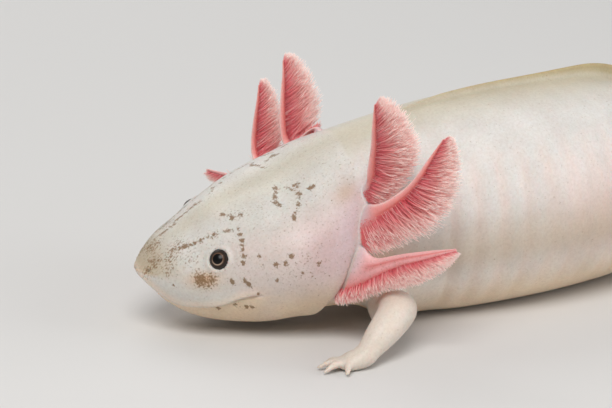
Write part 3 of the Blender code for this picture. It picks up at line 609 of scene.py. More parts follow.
def tube(name, curve, ways, wide, thick, count):
    """A piece with elliptical rings square to a curve, thick upward, and with a domed far end."""
    angle = even_angles(count)
    rings = []
    for point, way, across, through_it in zip(curve, ways, wide, thick):
        side = unit(np.cross(way, UP))
        upward = np.cross(side, way)
        turn = np.cos(angle)[:, None] * side * across + np.sin(angle)[:, None] * upward * through_it
        rings.append(point + turn)
    return closed(name, rings, last=curve[-1] + ways[-1] * wide[-1] * 0.6)


# a limb's curve starts at these depths in the body and comes out over the skin by the seat's lift,
# where a gill's curve starts too
ROOT_DEPTHS = (4.0, 3.0, 2.0, 1.0)
SEAT_LIFT = 0.4
LIMB_RINGS = 40
LIMB_AROUND = 36
LIMB_VOXEL = 0.4
LIMB_ROUNDS = 6
# palm from the wrist to its front: place, half width and half thickness
PALM_PLACES = (0.0, 0.18, 0.4, 0.6, 0.8, 0.92, 1.0)
PALM_WIDE = (2.15, 2.2, 2.35, 2.6, 2.8, 2.6, 1.8)
PALM_THICK = (2.15, 2.15, 2.0, 1.8, 1.6, 1.35, 0.9)
PALM_RINGS = 18
PALM_AROUND = 28
# heights of a palm's middle and front over the floor
PALM_MIDDLE_HEIGHT = 1.45
PALM_FRONT_HEIGHT = 1.1
# a digit's root, knuckle and tip: way out from the palm's middle, share of its length added, height
DIGIT_PLACES = ((0.7, 0.0, 1.25), (2.1, 0.45, 1.35), (2.0, 1.0, 0.45))
DIGIT_RADIUS = 0.95
DIGIT_TAPER = 0.42
DIGIT_FLATNESS = 0.92
DIGIT_RINGS = 14
DIGIT_AROUND = 14
KNUCKLE_RISE = 0.1
KNUCKLE_DIP = 0.08


def digit(name, centre, heading, angle, length, side):
    """One finger or toe, with a slight knuckle and a blunt tip."""
    bearing = heading + side * math.radians(angle)
    run = np.array([math.cos(bearing), math.sin(bearing), 0.0])
    places = []
    for out, share, height in DIGIT_PLACES:
        point = centre + run * (out + share * length)
        places.append((point[0], point[1], height))
    curve, ways = smooth_path(places, DIGIT_RINGS)
    share = np.linspace(0, 1, DIGIT_RINGS)
    size = DIGIT_RADIUS - DIGIT_TAPER * share
    size = size + KNUCKLE_RISE * bell(share - 0.55, 0.16) - KNUCKLE_DIP * bell(share - 0.35, 0.12)
    return tube(name, curve, ways, size, size * DIGIT_FLATNESS, DIGIT_AROUND)


def limb(name, root, table, thickness, turn, side, digits):
    """Arm or leg with its hand or foot, its root well inside the body, as one smooth closed mesh."""
    joints = [beside(s, side * out, height) for s, out, height in table]
    s, phi = root[0], side * math.radians(root[1])
    seat, out = BODY.skin(s, phi, True, SEAT_LIFT), BODY.normal(s, phi)
    curve, ways = smooth_path([seat, *joints], LIMB_RINGS, out)
    radius = evenly_through(thickness, np.linspace(0, 1, LIMB_RINGS))
    curve = np.concatenate([[seat - out * depth for depth in ROOT_DEPTHS], curve])
    ways = np.concatenate([[out] * len(ROOT_DEPTHS), ways])
    radius = np.concatenate([[radius[0]] * len(ROOT_DEPTHS), radius])
    pieces = [tube(name, curve, ways, radius, radius, LIMB_AROUND)]

    wrist, way = curve[-1], ways[-1]
    heading = math.pi + float(BODY.at(table[-1][0], BODY.heading)) + side * math.radians(turn)
    ahead = np.array([math.cos(heading), math.sin(heading), 0.0])
    centre = wrist + way * 0.3 + ahead * 3.0
    centre[2] = PALM_MIDDLE_HEIGHT
    front = centre + ahead * 1.6
    front[2] = PALM_FRONT_HEIGHT
    palm_curve, _ = smooth_path([wrist - way * 1.0, wrist + way * 0.3, centre, front], PALM_RINGS, way)
    turned = np.clip(np.linspace(0, 1.2, PALM_RINGS), 0, 1)[:, None]
    palm_ways = unit(way * (1 - turned) + ahead * turned)
    along = np.linspace(0, 1, PALM_RINGS)
    wide = np.interp(along, PALM_PLACES, PALM_WIDE)
    thick = np.interp(along, PALM_PLACES, PALM_THICK)
    pieces.append(tube(name + "_palm", palm_curve, palm_ways, wide, thick, PALM_AROUND))
    for angle, length in digits:
        pieces.append(digit(name + "_digit", centre, heading, angle, length, side))
    return fused(name, pieces), curve, radius


def evaluated_mesh(thing):
    """The mesh of a thing with its modifiers applied."""
    bpy.context.view_layer.update()
    return bpy.data.meshes.new_from_object(thing.evaluated_get(bpy.context.evaluated_depsgraph_get()))


def fused(name, pieces):
    """Closed pieces joined into one mesh and remeshed, so that they blend where they meet."""
    work = bmesh.new()
    for piece in pieces:
        work.from_mesh(piece.data)
        bpy.data.objects.remove(piece)
    mesh = bpy.data.meshes.new(name)
    work.to_mesh(mesh)
    work.free()
    made = placed(name, mesh)
    remesh = made.modifiers.new("voxels", "REMESH")
    remesh.mode = "VOXEL"
    remesh.voxel_size = LIMB_VOXEL * MM
    made.data = evaluated_mesh(made)
    made.modifiers.clear()
    smoothed(made, np.ones(len(made.data.vertices)), LIMB_ROUNDS)
    return made


def smoothed(thing, weights, rounds):
    """Moves points towards the mean of their neighbours, each by its weight."""
    mesh = thing.data
    ends = np.empty(len(mesh.edges) * 2, np.int64)
    mesh.edges.foreach_get("vertices", ends)
    a, b = ends[0::2], ends[1::2]
    points = points_of(thing)
    count = np.bincount(np.concatenate([a, b]), minlength=len(points))
    for _ in range(rounds):
        total = np.zeros_like(points)
        for axis in range(3):
            total[:, axis] = np.bincount(a, points[b, axis], len(points))
            total[:, axis] += np.bincount(b, points[a, axis], len(points))
        mean = total / np.maximum(count, 1)[:, None]
        points += (mean - points) * (0.6 * weights)[:, None]
    points[:, 2] = np.maximum(points[:, 2], FLOOR)
    set_points(thing, points)


def united(thing, others):
    """One union of a closed mesh with others, which are then removed."""
    group = bpy.data.collections.new("others")
    bpy.context.scene.collection.children.link(group)
    for other in others:
        bpy.context.scene.collection.objects.unlink(other)
        group.objects.link(other)
    union = thing.modifiers.new("union", "BOOLEAN")
    union.operation = "UNION"
    union.operand_type = "COLLECTION"
    union.collection = group
    union.solver = "MANIFOLD"
    thing.data = evaluated_mesh(thing)
    thing.modifiers.clear()
    for other in others:
        bpy.data.objects.remove(other)
    bpy.data.collections.remove(group)


def limbs():
    """All four limbs, and the curve and thickness of each."""
    made, curves = [], []
    for name, side in (("left", 1), ("right", -1)):
        for kind, root, table, thickness, turn, digits in (
            ("arm_", ARM_ROOT, ARM_JOINTS[name], ARM_THICKNESS, HAND_TURN[name], FINGERS),
            ("leg_", LEG_ROOT, LEG_JOINTS[name], LEG_THICKNESS, FOOT_TURN[name], TOES),
        ):
            piece, curve, radius = limb(kind + name, root, table, thickness, turn, side, digits)
            made.append(piece)
            curves.append((curve, radius))
    return made, curves


class Gill:
    """A gill's blade: its curve, the ways about it and the rings of its surface.

    Round a ring, angle -90 degrees is the edge from which the filaments hang and 90 degrees the
    crest opposite, which starts at the upper end of the root on the head's rim.
    """

    def __init__(self, root, reach, lean, hang, length, fullest, start, spread, rim):
        s, degrees = root
        phi = math.radians(degrees)
        self.side = 1 if degrees > 0 else -1
        self.length = length
        self.fullest = fullest
        self.start = start
        self.spread = spread
        _, back, left, _ = BODY.axes(s)
        axes = np.array([unit(back * (1, 1, 0)), unit(left * (1, 1, 0)) * self.side, UP])
        foot = BODY.skin(s, phi, True, SEAT_LIFT)
        tip = foot + np.array(reach) @ axes
        middle = foot + np.array(reach) * 0.5 @ axes + np.array(lean) @ axes
        self.curve, self.ways = smooth_path([foot, middle, tip], BLADE_RINGS, BODY.normal(s, phi))
        self.share = np.linspace(0, 1, BLADE_RINGS)
        hanging = unit(np.array(hang) @ axes)
        self.down = unit(hanging - self.ways * (self.ways @ hanging)[:, None])
        self.across = np.cross(self.ways, self.down) * self.side
        self.stalk = float(np.linalg.norm(np.diff(self.curve, axis=0), axis=1).sum())
        self.rings = self.surface(rim)

    def surface(self, rim):
        """Rings of the blade, from deep in the body out to the tip."""
        angle = even_angles(BLADE_AROUND)
        crest = ease((np.sin(angle) - 0.8) / 0.2)
        deep = evenly_through(BLADE_DEEP, self.share)
        thick = evenly_through(BLADE_THICK, self.share)
        middle, half = (rim[0] + rim[1]) / 2, (rim[1] - rim[0]) / 2
        root_angle = middle - half * np.sin(angle)
        root_phi = self.side * np.radians(root_angle)
        rounded = 0.5 + 0.5 * ease((np.sin(angle) + 1) / 1.4)
        behind = BLADE_BEHIND_RIM + BLADE_THICK[0] * np.cos(angle) * rounded
        root_s = through(RIM, 1, root_angle) + behind
        rings = [BODY.skin(root_s, root_phi, True, lift) for lift in BURIED_LIFTS]
        for i, share in enumerate(self.share):
            turned = float(ease(share / BLADE_ROOT_SHARE))
            low = BODY.skin(root_s, root_phi, True, share * self.stalk * 0.75)
            fade = float(ease((1 - share) / 0.3))
            up = deep[i] * np.sin(angle) + CREST_RISE * crest * fade
            sideways = thick[i] * np.cos(angle) * rounded
            high = self.curve[i] - self.down[i] * up[:, None] + self.across[i] * sideways[:, None]
            rings.append(low * (1 - turned) + high * turned)
        return np.array(rings)

    def solid(self, name):
        return closed(name, self.rings, last=self.curve[-1] + self.ways[-1] * 0.3)

    def on_surface(self, share, angle):
        """Points on the blade at shares of its length and angles round it, in radians."""
        row = len(BURIED_LIFTS) + share * (BLADE_RINGS - 1)
        column = np.mod(angle, 2 * math.pi) / (2 * math.pi) * BLADE_AROUND
        i, j = np.floor(row).astype(int), np.floor(column).astype(int)
        i = np.minimum(i, len(self.rings) - 2)
        u, v = (row - i)[:, None], (column - j)[:, None]
        j, k = j % BLADE_AROUND, (j + 1) % BLADE_AROUND
        near = self.rings[i, j] * (1 - v) + self.rings[i, k] * v
        far = self.rings[i + 1, j] * (1 - v) + self.rings[i + 1, k] * v
        return near * (1 - u) + far * u

    def ways_at(self, share, rows):
        return unit(np.stack([np.interp(share, self.share, column) for column in rows.T], -1))


FILAMENTS = 3400
FILAMENT_SIDES = 3
FILAMENT_SIZES = (1.0, 1.0, 0.85, 0.65, 0.4)
FILAMENT_RADIUS = 0.095


def threads(name, root, heading, bend, length, radius, look):
    """Many fine tapering threads as one mesh, with the share of the way to the tip on its points."""
    count, rings, sides = len(root), len(FILAMENT_SIZES), FILAMENT_SIDES
    t = np.linspace(0, 1, rings)
    angle = even_angles(sides)
    side = unit(np.cross(heading, bend))
    flat = np.cross(side, heading)
    middle = root[:, None] + heading[:, None] * (length[:, None] * t)[..., None]
    middle = middle + bend[:, None] * (length[:, None] * t ** 2)[..., None]
    ring = side[:, None] * np.cos(angle)[None, :, None] + flat[:, None] * np.sin(angle)[None, :, None]
    size = radius[:, None] * np.array(FILAMENT_SIZES)
    points = middle[:, :, None] + ring[:, None] * size[:, :, None, None]
    tips = middle[:, -1] + unit(middle[:, -1] - middle[:, -2]) * 0.08
    per = rings * sides
    points = np.concatenate([points.reshape(count, per, 3), tips[:, None]], 1).reshape(-1, 3)
    points[:, 2] = np.maximum(points[:, 2], FLOOR + 0.1)
    i, j, quads = bands(rings, sides)
    end = (rings - 1) * sides
    caps = np.stack([end + i, end + j, np.full(sides, per)], -1)
    first = np.arange(count)[:, None, None] * (per + 1)
    faces = (quads + first).reshape(-1, 4).tolist() + (caps + first).reshape(-1, 3).tolist()
    faces += (i[::-1] + first[:, 0]).tolist()
    made = new_object(name, points, faces, [look])
    to_tip = np.concatenate([np.repeat(t, sides), [1.0]])
    put_number(made, "to_tip", np.tile(to_tip, count))
    return made, per + 1


def filaments(name, gill, look):
    """A gill's filaments: fine threads on both sides of the edge of the blade that they hang from."""
    draw = np.random.default_rng(len(name) * 31 + int(gill.length * 10))
    count = FILAMENTS
    share = np.sort(gill.start + (0.995 - gill.start) * draw.uniform(0, 1, count) ** 0.92)
    row = draw.choice((-1.0, 1.0), count)
    spread = draw.uniform(0.05, 1.0, count)
    root = gill.on_surface(share, -math.pi / 2 + row * np.radians(gill.spread) * spread)
    way = gill.ways_at(share, gill.ways)
    down = gill.ways_at(share, gill.down)
    across = np.cross(way, down) * gill.side
    fan = row * np.radians(6 + 26 * spread) + np.radians(draw.normal(0, 5, count))
    lean = -0.1 + 1.25 * share ** 1.6 + draw.normal(0, 0.08, count)
    heading = unit(down * np.cos(fan)[:, None] + across * np.sin(fan)[:, None] + way * lean[:, None])
    grown = np.where(share < gill.fullest, share - gill.start, gill.fullest - gill.start)
    full = 0.45 + 0.55 * ease(grown / (gill.fullest - gill.start))
    full = full * (1 - 0.8 * np.clip((share - gill.fullest) / (1 - gill.fullest), 0, 1) ** 1.7)
    length = gill.length * full * draw.uniform(0.66, 1.08, count)
    bend = way * draw.uniform(0.05, 0.4, count)[:, None] + across * draw.normal(0, 0.07, count)[:, None]
    radius = FILAMENT_RADIUS * draw.uniform(0.75, 1.2, count)
    made, per = threads(name + "_filaments", root, heading, bend, length, radius, look)
    put_number(made, "own_tint", np.repeat(draw.uniform(0, 1, count), per))
    return made


def put_number(thing, name, values):
    layer = thing.data.attributes.new(name, "FLOAT", "POINT")
    layer.data.foreach_set("value", np.asarray(values, np.float32))


def put_colour(thing, name, values):
    layer = thing.data.attributes.new(name, "FLOAT_COLOR", "POINT")
    rgba = np.concatenate([values, np.ones((len(values), 1))], 1)
    layer.data.foreach_set("color", rgba.astype(np.float32).ravel())


CORNEA_RISE = 0.12
EYE_AROUND = 64
EYE_RINGS = 65


def eyeball(name, side, look):
    """One eyeball, its pupil's axis square to the skin, with the angle from that axis on its points."""
    centre = eye_centre(side)
    axis = BODY.normal(EYE_WAY, side * math.radians(EYE_ANGLE))
    first_way = unit(np.cross(axis, UP))
    second_way = np.cross(axis, first_way)
    around = even_angles(EYE_AROUND)
    turn = np.cos(around)[:, None] * first_way + np.sin(around)[:, None] * second_way
    rings = []
    for angle in np.linspace(0.02, math.pi - 0.02, EYE_RINGS):
        radius = EYE_RADIUS + CORNEA_RISE * bell(angle, 0.5)
        rings.append(centre + (axis * math.cos(angle) + turn * math.sin(angle)) * radius)
    front = centre + axis * (EYE_RADIUS + CORNEA_RISE)
    made = closed(name, rings, front, centre - axis * EYE_RADIUS, [look])
    way = unit(points_of(made) - centre)
    put_number(made, "off_axis", np.arccos(np.clip(way @ axis, -1, 1)))
    low_way = unit(np.array((0, 0, -1.0)) + axis * axis[2])
    put_number(made, "lower", np.clip(way @ low_way * 1.6, 0, 1))
    return made


def nodes_of(name):
    """For a new material: a function that adds a node, and one that fills the shader's sockets.

    Sockets are given by name or number, each with a plain value or the output to link to it.
    """
    made = bpy.data.materials.new(name)
    made.use_nodes = True
    tree = made.node_tree

    def fill(node, sockets):
        for key, value in sockets.items():
            if isinstance(value, bpy.types.NodeSocket):
                tree.links.new(value, node.inputs[key])
            else:
                node.inputs[key].default_value = value

    def add(kind, sockets, **settings):
        node = tree.nodes.new(kind)
        for key, value in settings.items():
            setattr(node, key, value)
        fill(node, sockets)
        return node

    def finish(sockets):
        fill(tree.nodes["Principled BSDF"], sockets)
        return made

    return add, finish


def attribute(add, name, output="Fac"):
    """A number that stands on the mesh's points, or a colour."""
    return add("ShaderNodeAttribute", {}, attribute_name=name).outputs[output]


def ramp(add, number, stops):
    """The colour for a number, from places and colours."""
    node = add("ShaderNodeValToRGB", {"Fac": number})
    elements = node.color_ramp.elements
    while len(elements) < len(stops):
        elements.new(0.5)
    for element, (place, colour) in zip(elements, stops):
        element.position = place
        element.color = (*colour, 1.0)
    return node.outputs["Color"]


def noise(add, where, scale, detail, roughness=0.5):
    """A noise texture over the object, its scale in waves per metre."""
    sockets = {"Vector": where, "Scale": scale, "Detail": detail, "Roughness": roughness}
    return add("ShaderNodeTexNoise", sockets).outputs["Fac"]


def blend(add, share, colour, other, kind="MIX"):
    """A colour with another laid over it, or multiplied into it, by a share."""
    sockets = {"Factor": share, "A": colour, "B": other}
    return add("ShaderNodeMix", sockets, data_type="RGBA", blend_type=kind).outputs["Result"]


def skin_material():
    add, finish = nodes_of("axolotl_skin")
    where = add("ShaderNodeTexCoord", {}).outputs["Object"]
    patches = noise(add, where, 160, 4)
    patches = ramp(add, patches, ((0.35, (0.93, 0.91, 0.9)), (0.65, (1.04, 1.03, 1.03))))
    grain = noise(add, where, 1900, 3, 0.65)
    grain = ramp(add, grain, ((0.3, (0.9, 0.87, 0.85)), (0.62, (1.03, 1.03, 1.03))))
    colour = blend(add, 0.8, attribute(add, "tint", "Color"), patches, "MULTIPLY")
    colour = blend(add, 0.75, colour, grain, "MULTIPLY")
    level = {0: noise(add, where, 2500, 2), 1: attribute(add, "freckled")}
    level = add("ShaderNodeMath", level, operation="ADD").outputs["Value"]
    spots = {"Value": level, "From Min": 0.62, "From Max": 0.92, "To Max": 0.85}
    spots = add("ShaderNodeMapRange", spots, interpolation_type="SMOOTHSTEP").outputs["Result"]
    bump = {"Strength": 0.3, "Distance": 0.0001, "Height": noise(add, where, 2400, 3)}
    return finish({
        "Base Color": blend(add, spots, colour, (*FRECKLE, 1)),
        "Normal": add("ShaderNodeBump", bump).outputs["Normal"],
        "Roughness": 0.5,
        "Subsurface Weight": 0.4,
        "Subsurface Radius": (1.0, 0.4, 0.28),
        "Subsurface Scale": 0.0014,
        "Coat Weight": 0.08,
        "Coat Roughness": 0.25,
    })


# light that comes through the threads from their neighbours, which the few bounces of a render miss
FILAMENT_GLOW = 0.13


def gill_material():
    add, finish = nodes_of("gill_filament")
    pale = {"Value": attribute(add, "own_tint"), "From Min": 0.5, "To Max": 0.55}
    pale = add("ShaderNodeMapRange", pale).outputs["Result"]
    colour = ramp(add, attribute(add, "to_tip"), FILAMENT_TINTS)
    colour = blend(add, pale, colour, (*FILAMENT_PALE, 1))
    return finish({
        "Base Color": colour,
        "Roughness": 0.4,
        "Emission Color": colour,
        "Emission Strength": FILAMENT_GLOW,
        "Subsurface Weight": 0.3,
        "Subsurface Radius": (1.0, 0.35, 0.3),
        "Subsurface Scale": 0.0004,
    })


# colours of pupil and iris by the angle from the pupil's axis in radians, and of the bright
# crescent, which stands on the ring between them
EYE_TINTS = (
    (0.0, (0.001, 0.001, 0.001)), (0.38, (0.002, 0.001, 0.001)), (0.42, (0.16, 0.085, 0.05)),
    (0.48, (0.06, 0.034, 0.022)), (0.6, (0.02, 0.013, 0.01)), (0.8, (0.04, 0.034, 0.03)),
)
EYE_RING = ((0.37, (0, 0, 0)), (0.43, (1, 1, 1)), (0.5, (0, 0, 0)))
EYE_CRESCENT = (0.62, 0.47, 0.36, 1)


def eye_material():
    add, finish = nodes_of("eye")
    off = attribute(add, "off_axis")
    bright = {0: ramp(add, off, EYE_RING), 1: attribute(add, "lower")}
    bright = add("ShaderNodeMath", bright, operation="MULTIPLY").outputs["Value"]
    return finish({
        "Base Color": blend(add, bright, ramp(add, off, EYE_TINTS), EYE_CRESCENT),
        "Roughness": 0.32,
        "Specular IOR Level": 0.15,
        "Coat Weight": 0.14,
        "Coat Roughness": 0.04,
    })


POINTS_AT_ONCE = 4000


def nearest_place(points):
    """Way along the spine, angle round it and distance out of the plain section, for points."""
    s = np.empty(len(points))
    for start in range(0, len(points), POINTS_AT_ONCE):
        part = slice(start, start + POINTS_AT_ONCE)
        off = ((points[part, None] - BODY.spine[None]) ** 2).sum(-1)
        s[part] = BODY.fine[off.argmin(1)]
    middle, _, left, up = BODY.axes(s)
    across = ((points - middle) * left).sum(-1)
    upward = ((points - middle) * up).sum(-1)
    half, top, bottom, round_top, round_bottom = (BODY.at(s, v) for v in BODY.shape)
    high = np.where(upward > 0, top, bottom)
    power = np.where(upward > 0, round_top, round_bottom) / 2
    sine = np.sign(across) * (np.abs(across) / half) ** power
    cosine = np.sign(upward) * (np.abs(upward) / high) ** power
    return s, np.degrees(np.arctan2(sine, cosine)), (np.hypot(sine, cosine) - 1) * np.minimum(half, high)


def srgb(red, green, blue):
    """A colour of the photo's kind, 0 to 255 each, as the linear one that a shader takes."""
    share = np.array((red, green, blue)) / 255
    return np.where(share <= 0.04045, share / 12.92, ((share + 0.055) / 1.055) ** 2.4)


CREAM = srgb(216, 214, 210)
FOREHEAD = srgb(211, 209, 203)
CHEEK = srgb(210, 199, 193)
BLUSH = srgb(206, 179, 180)
LAVENDER = srgb(214, 197, 201)
# darker tan along the top of the back and head: partly the skin's own tint, partly painted shade and
# painted reflection of the surroundings
DORSAL_TAN_AND_SHADE = srgb(172, 158, 116)
FIN_TINT = srgb(208, 190, 166)
BELLY = srgb(228, 208, 182)
FLANK_PINK = srgb(218, 197, 190)
GROOVE_PINK = srgb(222, 207, 200)
JAW = srgb(228, 207, 180)
THROAT = srgb(218, 184, 144)
# painted shade along the lower flank, where the side turns under
LOW_FLANK_SHADE = srgb(186, 170, 148)
CHEST = srgb(236, 188, 148)
LIP = srgb(222, 204, 184)
SNOUT = srgb(188, 172, 144)
UNDER_EYE = srgb(208, 168, 126)
# painted shade of a small dimple ahead of the upper gill's root
DIMPLE_SHADE = srgb(196, 172, 150)
ARM = srgb(214, 204, 192)
GILL_CREST = srgb(240, 200, 196)
GILL_FACE = srgb(228, 148, 143)
GILL_RED = srgb(214, 104, 100)
GILL_LINE = srgb(196, 76, 68)
GILL_PALE = srgb(226, 180, 181)
FILAMENT_PALE = srgb(238, 186, 180)
FRECKLE = srgb(122, 88, 46)
# colours along a filament, from its root to its tip
FILAMENT_TINTS = (
    (0.0, srgb(204, 80, 88)), (0.3, srgb(214, 106, 112)), (0.65, srgb(228, 152, 149)),
    (1.0, srgb(248, 226, 218)),
)
# a gill whose filaments stand over less of its blade than this, in degrees, has a paler blade with
# a few specks
PALE_SPREAD = 100.0
BLADE_SPECKS = 0.05

# rows of brown marks on the left of the head, as way along the spine and angle, with the space
# between marks; the right side has the same rows, each mark strayed a little
FRECKLE_ROWS = (
    (0.75, ((6.2, 29.0), (10.9, 33.0), (14.7, 33.0), (17.5, 33.0), (19.5, 36.5))),
    (0.95, ((19.2, 42.0), (18.6, 54.0), (18.2, 63.0))),
    (0.9, ((17.5, 16.5), (18.7, 21.0), (18.9, 26.5))),
    (0.85, ((28.5, 9.5), (27.9, 18.0), (27.3, 24.0), (27.7, 30.0))),
    (0.8, (
        (30.0, 17.5), (32.0, 18.7), (30.9, 21.5), (31.6, 26.7), (30.5, 34.5), (29.0, 41.5),
        (28.7, 45.0),
    )),
    (0.7, ((33.6, 28.0), (34.4, 27.0))),
    (0.6, ((15.0, 81.0), (15.4, 88.5))),
    (0.6, ((17.1, 82.0), (18.3, 91.0))),
    (1.0, ((15.0, 107.5), (17.5, 108.5))),
)
FRECKLE_SINGLES = (
    (20.7, 23.3), (20.9, 64.7), (20.7, 72.0), (18.1, 67.3), (23.5, 72.7), (25.1, 74.0), (26.3, 70.7),
    (27.3, 83.3), (19.1, 94.0), (12.3, 113.0), (5.1, 91.3), (22.5, 86.0), (30.5, 80.0),
)
# rows beside the middle of the head, on the animal's right
FRECKLE_MIDDLE_ROWS = (
    (0.55, ((3.0, -14.0), (6.9, -9.0), (9.4, -14.0), (12.5, -15.3), (15.1, -15.3))),
    (0.9, ((22.0, -31.0), (24.1, -32.0), (27.5, -34.0))),
)
FRECKLE_SEED = 23
FRECKLE_STRAY = 0.15
FRECKLE_SIZE = (0.33, 0.52)
FRECKLE_STRENGTH = (0.48, 0.78)
# patches of dense fine freckles: way along the spine, angle, radius and strength
FRECKLE_PATCHES = (
    (9.9, 80.0, 1.7, 0.46), (11.8, 80.0, 1.3, 0.42), (11.2, 86.0, 1.2, 0.3), (2.6, 38.0, 2.6, 0.28),
    (5.6, 40.0, 2.4, 0.28), (3.6, 0.0, 2.8, 0.28), (7.4, 24.0, 2.2, 0.24), (1.4, 62.0, 1.6, 0.27),
    (4.8, 62.0, 2.0, 0.22), (9.0, 50.0, 2.2, 0.17), (20.0, 22.0, 2.4, 0.15), (28.0, 80.0, 6.0, 0.1),
)
# specks all over the head, and where along the spine the brown marks end
HEAD_SPECKS = 0.05
MARKS_END = 38.0


def freckle_marks():
    """Middle, size and strength of every brown mark on the head."""
    draw = np.random.default_rng(FRECKLE_SEED)
    marks = []

    def add_mark(s, angle):
        point = BODY.skin(s, math.radians(angle), False)
        stray = draw.normal(0, FRECKLE_STRAY, 3)
        marks.append((*(point + stray), draw.uniform(*FRECKLE_SIZE), draw.uniform(*FRECKLE_STRENGTH)))

    def add_row(space, places, side):
        s, angle = np.transpose(places)
        way = way_along(BODY.skin(s, np.radians(angle), False))
        for where in np.arange(0, way[-1] + 0.01, space):
            add_mark(np.interp(where, way, s), side * np.interp(where, way, angle))

    for side in (1, -1):
        for space, places in FRECKLE_ROWS:
            add_row(space, places, side)
        for s, angle in FRECKLE_SINGLES:
            add_mark(s, side * angle)
    for space, places in FRECKLE_MIDDLE_ROWS:
        add_row(space, places, 1)
    return marks


def mixed(colours, other, share):
    return colours + (other - colours) * np.clip(share, 0, 1)[:, None]


def near_curve(points, curve, reach):
    """How near points are to a curve: 1 on it, falling to 0 at the reach, which may vary along it."""
    reach = np.broadcast_to(reach, len(curve))
    near = np.zeros(len(points))
    for place, far in zip(curve, reach):
        near = np.maximum(near, 1 - np.linalg.norm(points - place, axis=1) / far)
    return near


def layered(base, count, layers):
    """Colours of so many points: a base with tints laid over it in turn, each by its share."""
    colours = np.repeat(base[None], count, 0)
    for tint, share in layers:
        colours = mixed(colours, tint, share)
    return colours


BLADE_MARGIN = 4.0
FAR_OFF = 99.0


def paint_gills(points, out, colour, gills):
    """Colours with those of the gills' blades added, where the blades are, and which are pale."""
    places, rows = [], []
    for gill in gills:
        places.append(gill.rings[len(BURIED_LIFTS):].reshape(-1, 3))
        share, sine = np.meshgrid(gill.share, np.sin(even_angles(BLADE_AROUND)), indexing="ij")
        pale = np.full(share.size, float(gill.spread < PALE_SPREAD))
        rows.append(np.stack([share.ravel(), sine.ravel(), pale], 1))
    places, rows = np.concatenate(places), np.concatenate(rows)
    tree = KDTree(len(places))
    for i, place in enumerate(places):
        tree.insert(place, i)
    tree.balance()
    low, high = places.min(0) - BLADE_MARGIN, places.max(0) + BLADE_MARGIN
    share, sine, pale = np.zeros((3, len(points)))
    off = np.full(len(points), FAR_OFF)
    for i in np.flatnonzero(np.all((points > low) & (points < high), axis=1)):
        _, nearest, off[i] = tree.find(points[i])
        share[i], sine[i], pale[i] = rows[nearest]
    blade = ease((0.5 - off) / 0.35) * ease((out - 0.15) / 0.5)
    face = layered(GILL_RED, len(points), (
        (GILL_FACE, ease((sine + 0.1) / 0.8)),
        (GILL_CREST, 0.85 * ease((sine - 0.86) / 0.1) * ease((1.25 - share) / 0.6)),
        (GILL_PALE, 0.75 * pale * ease((sine + 0.7) / 0.6)),
        (GILL_LINE, 0.7 * bell(sine - 0.4, 0.22) * ease((share - 0.1) / 0.15)),
        (LAVENDER, 0.85 * ease((0.2 - share) / 0.16) * ease((sine + 0.3) / 0.8)),
    ))
    around = ease((2.6 - off) / 2.4)
    colour = mixed(colour, BLUSH, 0.5 * around * (1 - blade))
    return colour * (1 - blade)[:, None] + face * blade[:, None], blade, pale


def trunk_colour(s, side, out):
    """Colours of trunk and tail, by way along the spine, angle from the top and height."""
    # the back's top band: partly its own tan, partly painted shade and painted reflection, paler tan
    # towards the tail
    dorsal_tan_and_shade = layered(DORSAL_TAN_AND_SHADE, len(s), [(FIN_TINT, ease((s - 96) / 40))])
    _, off_groove = nearest_groove(s)
    flank = ease((side - 40) / 25) * ease((150 - side) / 25)
    return layered(CREAM, len(s), (
        (dorsal_tan_and_shade, ease((38 - side) / 36) * (0.6 + 0.4 * ease((out - 0.3) / 1.5))),
        (FLANK_PINK, ease((s - 66) / 18) * bell(side - 92, 26) * ease((150 - s) / 40)),
        (GROOVE_PINK, 0.75 * bell(off_groove, 1.1) * flank),
        # painted shade along the lower flank
        (LOW_FLANK_SHADE, 0.7 * bell(side - 100, 13)),
        (BELLY, ease((side - 106) / 34)),
        (THROAT, 0.8 * ease((side - 112) / 30) * ease((46 - s) / 8)),
        (CHEST, 0.8 * bell(s - 41, 5) * bell(side - 112, 20)),
        (FLANK_PINK, 0.5 * ease((s - 150) / 60)),
    ))


def head_colour(s, angle, past_rim):
    """Colours of the head, by way along the spine, angle and way past the rear rim."""
    side, girth = np.abs(angle), BODY.girth(s)
    _, upward = BODY.section(s, np.radians(angle))
    below_mouth = through(MOUTH, 1, s) - upward
    has_mouth = ease((MOUTH_CORNER + 4 - s) / 6)
    return layered(FOREHEAD, len(s), (
        (CHEEK, ease((side - 32) / 25) * ease((s - 10) / 10)),
        (BLUSH, 0.75 * bell(s - 33, 5.5) * bell(side - 74, 26)),
        (LAVENDER, 0.9 * ease((past_rim + 6) / 5) * bell(side - 66, 24)),
        # painted shade of a dimple ahead of the upper gill's root
        (DIMPLE_SHADE, 0.7 * bell(np.hypot(s - 38, (side - 44) * girth), 1.9)),
        (SNOUT, 0.85 * ease((9 - s) / 8) * ease((88 - side) / 24)),
        (UNDER_EYE, 0.75 * bell(s - 10.5, 2.8) * bell((side - 80) * girth, 1.8)),
        (LIP, 0.6 * bell(below_mouth + 1.0, 0.9) * has_mouth),
        (JAW, ease((below_mouth + 0.2) / 0.7) * has_mouth),
        (JAW, (1 - has_mouth) * ease((side - 86) / 34)),
        # top of the head darker and tan: partly its own tint, partly painted shade and painted
        # reflection
        (DORSAL_TAN_AND_SHADE, 0.4 * bell(side, 14) * ease((s - 4) / 6)),
    ))


def freckle_share(points, s, side, head):
    """How thick the freckles stand at points of the skin, from 0 to 1."""
    freckled = HEAD_SPECKS * head * ease((100 - side) / 20)
    for place, turn, size, strength in FRECKLE_PATCHES:
        for which in (1, -1):
            off = np.linalg.norm(points - BODY.skin(place, which * math.radians(turn), False), axis=1)
            freckled = np.maximum(freckled, strength * bell(off, size))
    on_head = np.flatnonzero((head > 0.5) & (s < MARKS_END))
    for x, y, z, size, strength in freckle_marks():
        off = np.linalg.norm(points[on_head] - (x, y, z), axis=1)
        freckled[on_head] = np.maximum(freckled[on_head], strength * bell(off, size))
    return freckled


# how far from a wrist or ankle the limb's colour reaches, over the hand or foot
HAND_REACH = 16.0


